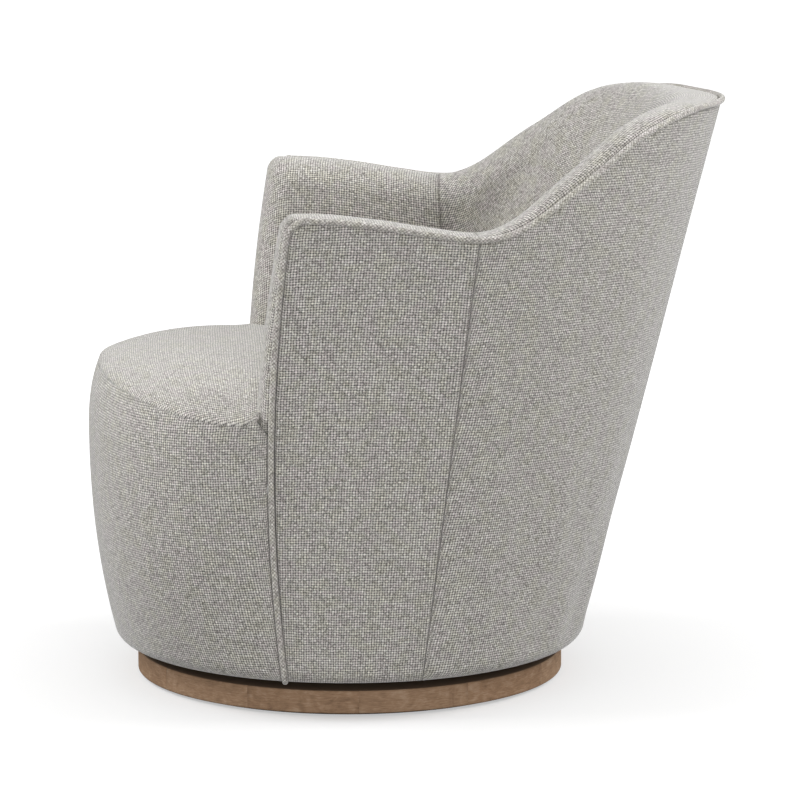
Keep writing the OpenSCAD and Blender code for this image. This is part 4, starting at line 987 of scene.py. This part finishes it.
def with_nodes(name, points, tree, ids, closed=False, **values):
    """Piece that a Geometry Nodes tree makes along a line of points, as a plain mesh."""
    count = len(points)
    edges = [(i, i + 1) for i in range(count - 1)] + ([(count - 1, 0)] if closed else [])
    piece = placed(name, new_mesh(name, points, edges=edges))
    modifier = piece.modifiers.new("Made by nodes", "NODES")
    modifier.node_group = tree
    for key, value in values.items():
        modifier[ids[key]] = value
    bpy.context.view_layer.update()
    evaluated = piece.evaluated_get(bpy.context.evaluated_depsgraph_get())
    mesh = bpy.data.meshes.new_from_object(evaluated)
    piece.modifiers.clear()
    piece.data = mesh
    return piece


def welt_line():
    """Line of the piping: up one front edge, round the rim and down the other."""
    t = Tub
    out = -t.skin_gap
    a = np.linspace(15, 90, 8)[:-1]
    reach = t.foot_ease - out
    foot = at(0, t.body_z + t.foot_ease - reach * cosd(a), t.foot_ease - reach * sind(a))
    z = np.linspace(t.body_z + t.foot_ease, t.arm_z - t.corner_r, 140)
    front = at(0, z, out)
    a = np.linspace(0, 90, 14)[1:-1]
    z = t.arm_z - t.corner_r * (1 - sind(a))
    o = outer(0, z)
    corner = np.stack([o[:, 0] - out, o[:, 1] + t.corner_r * (1 - cosd(a)), z], -1)
    s = np.linspace(t.corner_r / t.arm_run, 1, 60)[:-1]
    arm = at(s, rim(s), out)
    s = np.linspace(1, 2, 160)
    back = at(s, rim(s), out)
    half = np.concatenate([foot, front, corner, arm, back])
    return np.concatenate([half, mirrored(half)[-2::-1]])


class ROCKER_OT_piping(bpy.types.Operator):
    """Makes the welt piping round the front edges and the rim"""

    bl_idname = "rocker.piping"
    bl_label = "Piping"

    def execute(self, context):
        look = context.scene.rocker_cloth
        # The piping's weave takes its own, lighter painted shade in its gaps
        bias = woven_cloth("Bias-cut piping cloth", math.radians(45), look.piping_gap_shade)
        shape = {"Thickness": look.piping_diameter, "Sides": 12, "Material": bias}
        piece = with_nodes("cloth_welt_piping", welt_line(), *piping_tree(), **shape)
        piece.data.shade_smooth()
        finish(piece, "chair_body", bias, "upholstery", "welt_piping")
        return {"FINISHED"}


class ROCKER_OT_stitches(bpy.types.Operator):
    """Makes the stitches that fell the side seams, and the staples of the dust cover"""

    bl_idname = "rocker.stitches"
    bl_label = "Stitches and staples"

    def execute(self, context):
        look, t = context.scene.rocker_cloth, Tub
        tree, ids = bars_tree()
        # Twisted thread a shade darker than the cloth
        thread = plain_finish("Spun polyester thread", "#8f8c86", "#aaa7a0", 0.0008, 0.0001, 0.7)
        s = 1 + mix(t.seam_s / 4, 1, t.fell_w / t.outside_run)
        z = np.linspace(t.body_z + t.foot_ease, rim(s) - 2 * t.welt_r, 240)
        line = at(s, z, t.fell_depth + slack(s, z) - t.stitch_lift)
        for side, way in ARMS:
            row = with_nodes(
                "side_seam_stitches" + side, line * [way, 1, 1], tree, ids, Sides=6,
                Pitch=look.stitch_pitch, Length=0.8 * look.stitch_pitch, Thickness=look.thread,
                Material=thread,
            )
            finish(row, "chair_body", thread, "upholstery")
        # Bright wire, flat on the cover
        wire = plain_finish("Galvanised wire", "#a9adb0", "#c6cacc", 0.003, 0.0001, 0.4, 1.0)
        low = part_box("dust_cover")[0][2] / MM
        around = np.linspace(0, 360, 145)[:-1]
        level = np.full(len(around), low - t.hair)
        ring = np.stack([t.staple_r * cosd(around), t.staple_r * sind(around), level], -1)
        staples = with_nodes(
            "dust_cover_staples", ring, tree, ids, closed=True, Pitch=look.staple_pitch,
            Length=0.01, Thickness=0.0008, Sides=6, Material=wire,
        )
        finish(staples, "chair_body", wire, "zinc_steel")
        return {"FINISHED"}


class PlinthSettings(bpy.types.PropertyGroup):
    """The wooden plinth."""

    staves: IntProperty(name="Staves", description="Blocks that the ring is made of", default=12)
    joint: FloatProperty(
        name="Joint", description="Width of the joints", default=0.0005, unit="LENGTH"
    )
    light_wood: StringProperty(
        name="Light wood", description="sRGB colour of the worn grain", default="#c2aa93"
    )
    middle_wood: StringProperty(
        name="Middle wood", description="sRGB colour of most of the wood", default="#a4866b"
    )
    dark_wood: StringProperty(
        name="Dark wood", description="sRGB colour of the pores and knots", default="#806752"
    )
    # Painted shade: the colour given to the top face, which lies in shadow under the seat
    top_painted_shade: StringProperty(
        name="Top stain", description="sRGB colour of the top under the seat", default="#75614f"
    )


def weathered_oak():
    """Oak, brushed, greyed and oiled matt. Worn grain shows pale against brown pores, in blotches
    that differ from stave to stave."""
    look = bpy.context.scene.rocker_plinth
    material, tree, shader = new_material("Weathered oak", Roughness=0.75, Specular_IOR_Level=0.2)
    uv = add(tree, "ShaderNodeUVMap", uv_map="weave")
    stave = add(tree, "ShaderNodeAttribute", attribute_name="stave").outputs["Fac"]
    own = add(tree, "ShaderNodeCombineXYZ", {"Z": stave})
    apart = {0: own, 1: (0, 0, 5.7), 2: uv}
    place = add(tree, "ShaderNodeVectorMath", apart, operation="MULTIPLY_ADD")
    # Grain runs round the ring: 1.5 mm across, 12 mm along
    grain_place = add(tree, "ShaderNodeMapping", {"Vector": place, "Scale": (80, 650, 1)})
    fine = {"Scale": 1.0, "Detail": 5.0, "Roughness": 0.65, "Distortion": 0.8}
    grain = add(tree, NOISE, {"Vector": grain_place, **fine})
    broad = {"Scale": 34.0, "Detail": 4.0, "Distortion": 2.0}
    blotch = add(tree, NOISE, {"Vector": place, **broad})
    both = add(tree, MIX, {0: 0.45, 2: grain, 3: blotch}, data_type="FLOAT")
    woods = ((0.3, look.dark_wood), (0.52, look.middle_wood), (0.72, look.light_wood))
    wood = set_ramp(add(tree, RAMP, {"Fac": both}), *woods)
    chance = add(tree, "ShaderNodeTexWhiteNoise", {"W": stave}, noise_dimensions="1D")
    shade = set_ramp(add(tree, RAMP, {"Fac": chance}), (0.0, "#efeae5"), (1.0, "#ffffff"))
    wood = add(tree, MIX, {0: 1.0, 6: wood, 7: shade}, **MULTIPLY)
    # The top, under the seat's shell, gets a painted shade as dark as the shadow that falls there;
    # its rounded edge keeps the wood's colour
    spot = add(tree, "ShaderNodeTexCoord").outputs["Object"]
    level = add(tree, "ShaderNodeSeparateXYZ", {"Vector": spot}).outputs["Z"]
    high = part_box("plinth_ring")[1][2]
    # Painted shade: every point at the height of the top face takes the dark colour
    shaded_top = add(tree, MATH, {0: level, 1: high - 0.0003}, operation="GREATER_THAN")
    wood = add(tree, MIX, {0: shaded_top, 6: wood, 7: colour(look.top_painted_shade)}, data_type="RGBA")
    bump = add(tree, "ShaderNodeBump", {"Height": grain, "Strength": 0.4, "Distance": 0.0004})
    fill_inputs(tree, shader, {"Base Color": wood, "Normal": bump})
    return material


class ROCKER_OT_plinth(bpy.types.Operator):
    """Makes the plinth's ring of staves"""

    bl_idname = "rocker.plinth"
    bl_label = "Plinth"

    def execute(self, context):
        look = context.scene.rocker_plinth
        low, high = (np.array(c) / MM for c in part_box("plinth_ring"))
        deck_low, deck_high = (np.array(c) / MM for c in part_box("plinth_deck"))
        r, z0, z1 = high[0], low[2], high[2]
        ledge_w, deck_gap, e, groove = 12, 0.3, 2.5, 0.4
        edge_points, wall_points, stave_columns = 5, 7, 22
        inner_r, ledge_r, ledge_z = deck_high[0] - ledge_w, deck_high[0] + deck_gap, deck_low[2]
        # Section of the ring, with its edges rounded by e
        turn = np.linspace(0, 90, edge_points)
        section = [[inner_r, z0]]
        section += [[r - e + e * sind(a), z0 + e - e * cosd(a)] for a in turn]
        section += [[r, z] for z in np.linspace(z0 + e, z1 - e, wall_points)[1:-1]]
        section += [[r - e + e * cosd(a), z1 - e + e * sind(a)] for a in turn]
        section += [[x, z1] for x in np.linspace(r - e, ledge_r, edge_points)[1:]]
        section = np.array(section + [[ledge_r, ledge_z], [inner_r, ledge_z]])
        # Each stave has a sunk joint at its start
        half, step = math.degrees(look.joint / MM / 2 / r), 360 / look.staves
        within = np.append(0, np.linspace(half, step - half, stave_columns))
        angles = (np.arange(look.staves)[:, None] * step + within).ravel()
        sunk = np.tile(np.append(groove, np.zeros(len(within) - 1)), look.staves)
        outside = (section[:, 0] > r - e - 1)[None]
        reach = section[None, :, 0] - sunk[:, None] * outside
        x, y = reach * cosd(angles)[:, None], reach * sind(angles)[:, None]
        grid = np.stack([x, y, np.broadcast_to(section[:, 1], x.shape)], -1)
        index = np.pad(np.arange(x.size).reshape(x.shape), (0, 1), mode="wrap")
        faces = quads(index)[:, [0, 3, 2, 1]].tolist()
        arc = np.radians(angles) * r
        way = np.append(0, np.cumsum(np.linalg.norm(np.diff(section, axis=0), axis=1)))
        weave = np.stack(np.broadcast_arrays(arc[:, None], way[None]), -1)
        ring = new_piece("plinth_staves", grid, faces, weave)
        # The number of its stave is kept on every face, for the wood
        number = np.repeat(np.arange(look.staves), len(within) * len(section))
        corners = np.zeros(len(ring.data.loops), int)
        ring.data.loops.foreach_get("vertex_index", corners)
        staves = number[corners.reshape(-1, 4)]
        closing = staves.max(1) - staves.min(1) > 1
        stave = np.where(closing, staves.max(1), staves.min(1)).astype(np.float32)
        ring.data.attributes.new("stave", "FLOAT", "FACE").data.foreach_set("value", stave)
        finish(ring, "base", weathered_oak(), "plinth_wood", "plinth_ring")
        return {"FINISHED"}


# Looks of the frame's slots: real name, darker and lighter tone, spacing of the pattern and depth
# of its relief in metres, roughness and, for bare metal, 1
FINISHES = {
    # Pale with a faint figure
    "frame_wood": ("Planed birch", "#cdb48b", "#e3cfab", 0.02, 0.0001, 0.6),
    # Black, slightly fuzzy
    "deck_board": ("Black fibre board", "#1b1a19", "#2b2927", 0.004, 0.0001, 0.8),
    # Black and hairy
    "glide_felt": ("Pressed wool felt", "#151515", "#2a2a2a", 0.002, 0.0006, 0.95),
    # Pale grey with soft reflections
    "zinc_steel": ("Zinc-plated steel", "#b4b8bb", "#cfd2d4", 0.006, 0.0001, 0.35, 1.0),
    # Smooth black with a broad highlight
    "black_steel": ("Satin black enamelled steel", "#141416", "#1f1f22", 0.001, 0.0001, 0.45),
    # Ivory, a little waxy
    "nylon": ("Moulded nylon", "#dcd8cd", "#e9e5db", 0.01, 0.0001, 0.45),
    # Dull black
    "rubber": ("Moulded rubber", "#101010", "#1c1c1c", 0.003, 0.0001, 0.8),
    # Black with fine ribs
    "webbing": ("Elastic webbing", "#111113", "#2c2c30", 0.0015, 0.0004, 0.85),
    # Dull black with a fine mesh
    "lining": ("Spun-bonded lining", "#1a1a1c", "#2b2b2e", 0.0015, 0.0003, 0.9),
}


class ROCKER_OT_frame_finish(bpy.types.Operator):
    """Gives the frame, the bearing and the rocking mechanism their finishes"""

    bl_idname = "rocker.frame_finish"
    bl_label = "Frame and mechanism"

    def execute(self, context):
        looks = {slot: plain_finish(*values) for slot, values in FINISHES.items()}
        slots = {row["node"]: row["material_slot"] for row in frame["record"]["subparts"]}
        for name, node in frame["nodes"].items():
            if slots[name] in looks and not node.hide_render:
                node.data.materials.clear()
                node.data.materials.append(looks[slots[name]])
        for name in ("front_springs", "rear_springs"):
            self.coils(name, slots[name])
        return {"FINISHED"}

    def coils(self, name, slot):
        """Coil springs of the frame, copied as a plain piece of their own in place of the frame's
        node."""
        node = frame["nodes"][name]
        mesh = node.data.copy()
        mesh.transform(node.matrix_world)
        piece = placed("coils_" + name, mesh)
        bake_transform(piece)
        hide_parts(name)


class StageSettings(bpy.types.PropertyGroup):
    """Camera, floor and studio light."""

    lens: FloatProperty(
        name="Lens", description="Focal length on a 36 mm sensor, in millimetres", default=178.92
    )
    distance: FloatProperty(
        name="Distance", description="From the camera to its aim", default=5.2669, unit="LENGTH"
    )
    azimuth: FloatProperty(
        name="Azimuth", description="Angle round the chair", default=math.radians(86.898),
        subtype="ANGLE",
    )
    elevation: FloatProperty(
        name="Elevation", description="Angle above the horizon", default=math.radians(9.39),
        subtype="ANGLE",
    )
    top_light: FloatProperty(name="Top light", description="Watts of the soft box", default=10)
    end_light: FloatProperty(name="End lights", description="Watts of each", default=60)
    side_light: FloatProperty(name="Side light", description="Watts", default=40)
    sky: FloatProperty(name="Sky", description="Strength of the even light", default=0.33)


WHITE = (1, 1, 1, 1)


class ROCKER_OT_stage(bpy.types.Operator):
    """Sets up the floor, the lights and the camera"""

    bl_idname = "rocker.stage"
    bl_label = "Stage"

    def execute(self, context):
        look = context.scene.rocker_stage
        self.floor()
        self.sky(look.sky)
        self.soft_box("Top light", (0, 0.1, 2.6), (0, 0.1, 0), (2.6, 2.2), look.top_light)
        self.soft_box("Front light", (0, -2.4, 2.1), (0, 0, 0.5), (1.6, 1.6), look.end_light)
        self.soft_box("Rear light", (0, 2.6, 2.1), (0, 0, 0.5), (1.6, 1.6), look.end_light)
        self.soft_box("Side light", (3.2, 0, 0.6), (0, 0, 0.5), (2.2, 1.1), look.side_light)
        camera = placed("Camera", bpy.data.cameras.new("Camera"))
        aim = Vector((0, 0.06715, 0.3605))
        a, e = look.azimuth, look.elevation
        back = Vector((math.sin(a) * math.cos(e), -math.cos(a) * math.cos(e), math.sin(e)))
        camera.location = aim + look.distance * back
        camera.rotation_euler = back.to_track_quat("Z", "Y").to_euler()
        camera.data.lens = look.lens
        camera.data.sensor_width = 36
        camera.data.clip_end = 200
        context.scene.camera = camera
        context.scene.view_settings.view_transform = "Standard"
        return {"FINISHED"}

    def floor(self):
        """Matt pale studio floor, which the camera sees brighter than it is lit, up to white."""
        size = 40000
        corners = [[-size, -size, 0], [size, -size, 0], [size, size, 0], [-size, size, 0]]
        floor = placed("Floor", new_mesh("Floor", corners, [[0, 1, 2, 3]]))
        material, tree, shader = new_material("Studio floor", Roughness=0.9, Specular_IOR_Level=0.1)
        fill_inputs(tree, shader, {"Base Color": colour("#808080")})
        pale = add(tree, "ShaderNodeBsdfDiffuse", {"Color": colour("#c6c6c6")})
        place = add(tree, "ShaderNodeTexCoord").outputs["Object"]
        away = add(tree, "ShaderNodeVectorMath", {0: place}, operation="LENGTH")
        fade = {"From Min": 0.3, "From Max": 2.6, "To Min": 0.44, "To Max": 0.97}
        white = add(tree, "ShaderNodeMapRange", {"Value": away.outputs["Value"], **fade})
        glow = add(tree, "ShaderNodeEmission", {"Color": WHITE, "Strength": white})
        both = add(tree, "ShaderNodeAddShader", {0: pale, 1: glow})
        direct = add(tree, "ShaderNodeLightPath").outputs["Is Camera Ray"]
        shown = add(tree, "ShaderNodeMixShader", {0: direct, 1: shader, 2: both})
        fill_inputs(tree, tree.nodes["Material Output"], {"Surface": shown})
        floor.data.materials.append(material)

    def sky(self, strength):
        """Even light from all round, seen as white."""
        world = bpy.data.worlds.new("Studio")
        bpy.context.scene.world = world
        world.use_nodes = True
        tree = world.node_tree
        tree.nodes.clear()
        lit = add(tree, "ShaderNodeBackground", {"Color": WHITE, "Strength": strength})
        seen = add(tree, "ShaderNodeBackground", {"Color": WHITE, "Strength": 1.0})
        path = add(tree, "ShaderNodeLightPath").outputs
        rays = {0: path["Is Camera Ray"], 1: path["Is Glossy Ray"]}
        direct = add(tree, MATH, rays, operation="MAXIMUM")
        both = add(tree, "ShaderNodeMixShader", {0: direct, 1: lit, 2: seen})
        add(tree, "ShaderNodeOutputWorld", {"Surface": both})

    def soft_box(self, name, place, aim, size, watts):
        """Area light of the given size at a place, facing its aim."""
        data = bpy.data.lights.new(name, "AREA")
        data.shape = "RECTANGLE"
        data.size, data.size_y = size
        data.energy = watts
        lamp = placed(name, data)
        lamp.location = place
        away = Vector(place) - Vector(aim)
        lamp.rotation_euler = away.to_track_quat("Z", "Y").to_euler()


PIECES = (
    ROCKER_OT_outside_panels,
    ROCKER_OT_seat_front,
    ROCKER_OT_inside_panels,
    ROCKER_OT_seat,
    ROCKER_OT_piping,
    ROCKER_OT_stitches,
    ROCKER_OT_plinth,
    ROCKER_OT_frame_finish,
    ROCKER_OT_stage,
)
SETTINGS = {
    ClothSettings: "rocker_cloth",
    PlinthSettings: "rocker_plinth",
    StageSettings: "rocker_stage",
}


class ROCKER_PT_build(bpy.types.Panel):
    """Steps that dress the swivel rocker"""

    bl_idname = "ROCKER_PT_build"
    bl_label = "Swivel Rocker"
    bl_space_type = "VIEW_3D"
    bl_region_type = "UI"
    bl_category = "Rocker"

    def draw(self, context):
        for step in PIECES:
            self.layout.operator(step.bl_idname)
        for settings in SETTINGS.values():
            box = self.layout.box()
            group = getattr(context.scene, settings)
            for name in group.bl_rna.properties.keys():
                if name not in ("rna_type", "name"):
                    box.prop(group, name)


def register():
    for group, name in SETTINGS.items():
        bpy.utils.register_class(group)
        setattr(bpy.types.Scene, name, PointerProperty(type=group))
    for kind in PIECES + (ROCKER_PT_build,):
        bpy.utils.register_class(kind)


def unregister():
    for kind in reversed(PIECES + (ROCKER_PT_build,)):
        bpy.utils.unregister_class(kind)
    for group, name in SETTINGS.items():
        delattr(bpy.types.Scene, name)
        bpy.utils.unregister_class(group)


def main():
    for piece in [o for o in bpy.data.objects if o.name in ("Cube", "Light", "Camera")]:
        bpy.data.objects.remove(piece)
    register()
    bpy.ops.rocker.outside_panels()
    bpy.ops.rocker.seat_front()
    bpy.ops.rocker.inside_panels()
    bpy.ops.rocker.seat()
    bpy.ops.rocker.piping()
    bpy.ops.rocker.stitches()
    bpy.ops.rocker.plinth()
    bpy.ops.rocker.frame_finish()
    bpy.ops.rocker.stage()


if __name__ == "__main__":
    main()
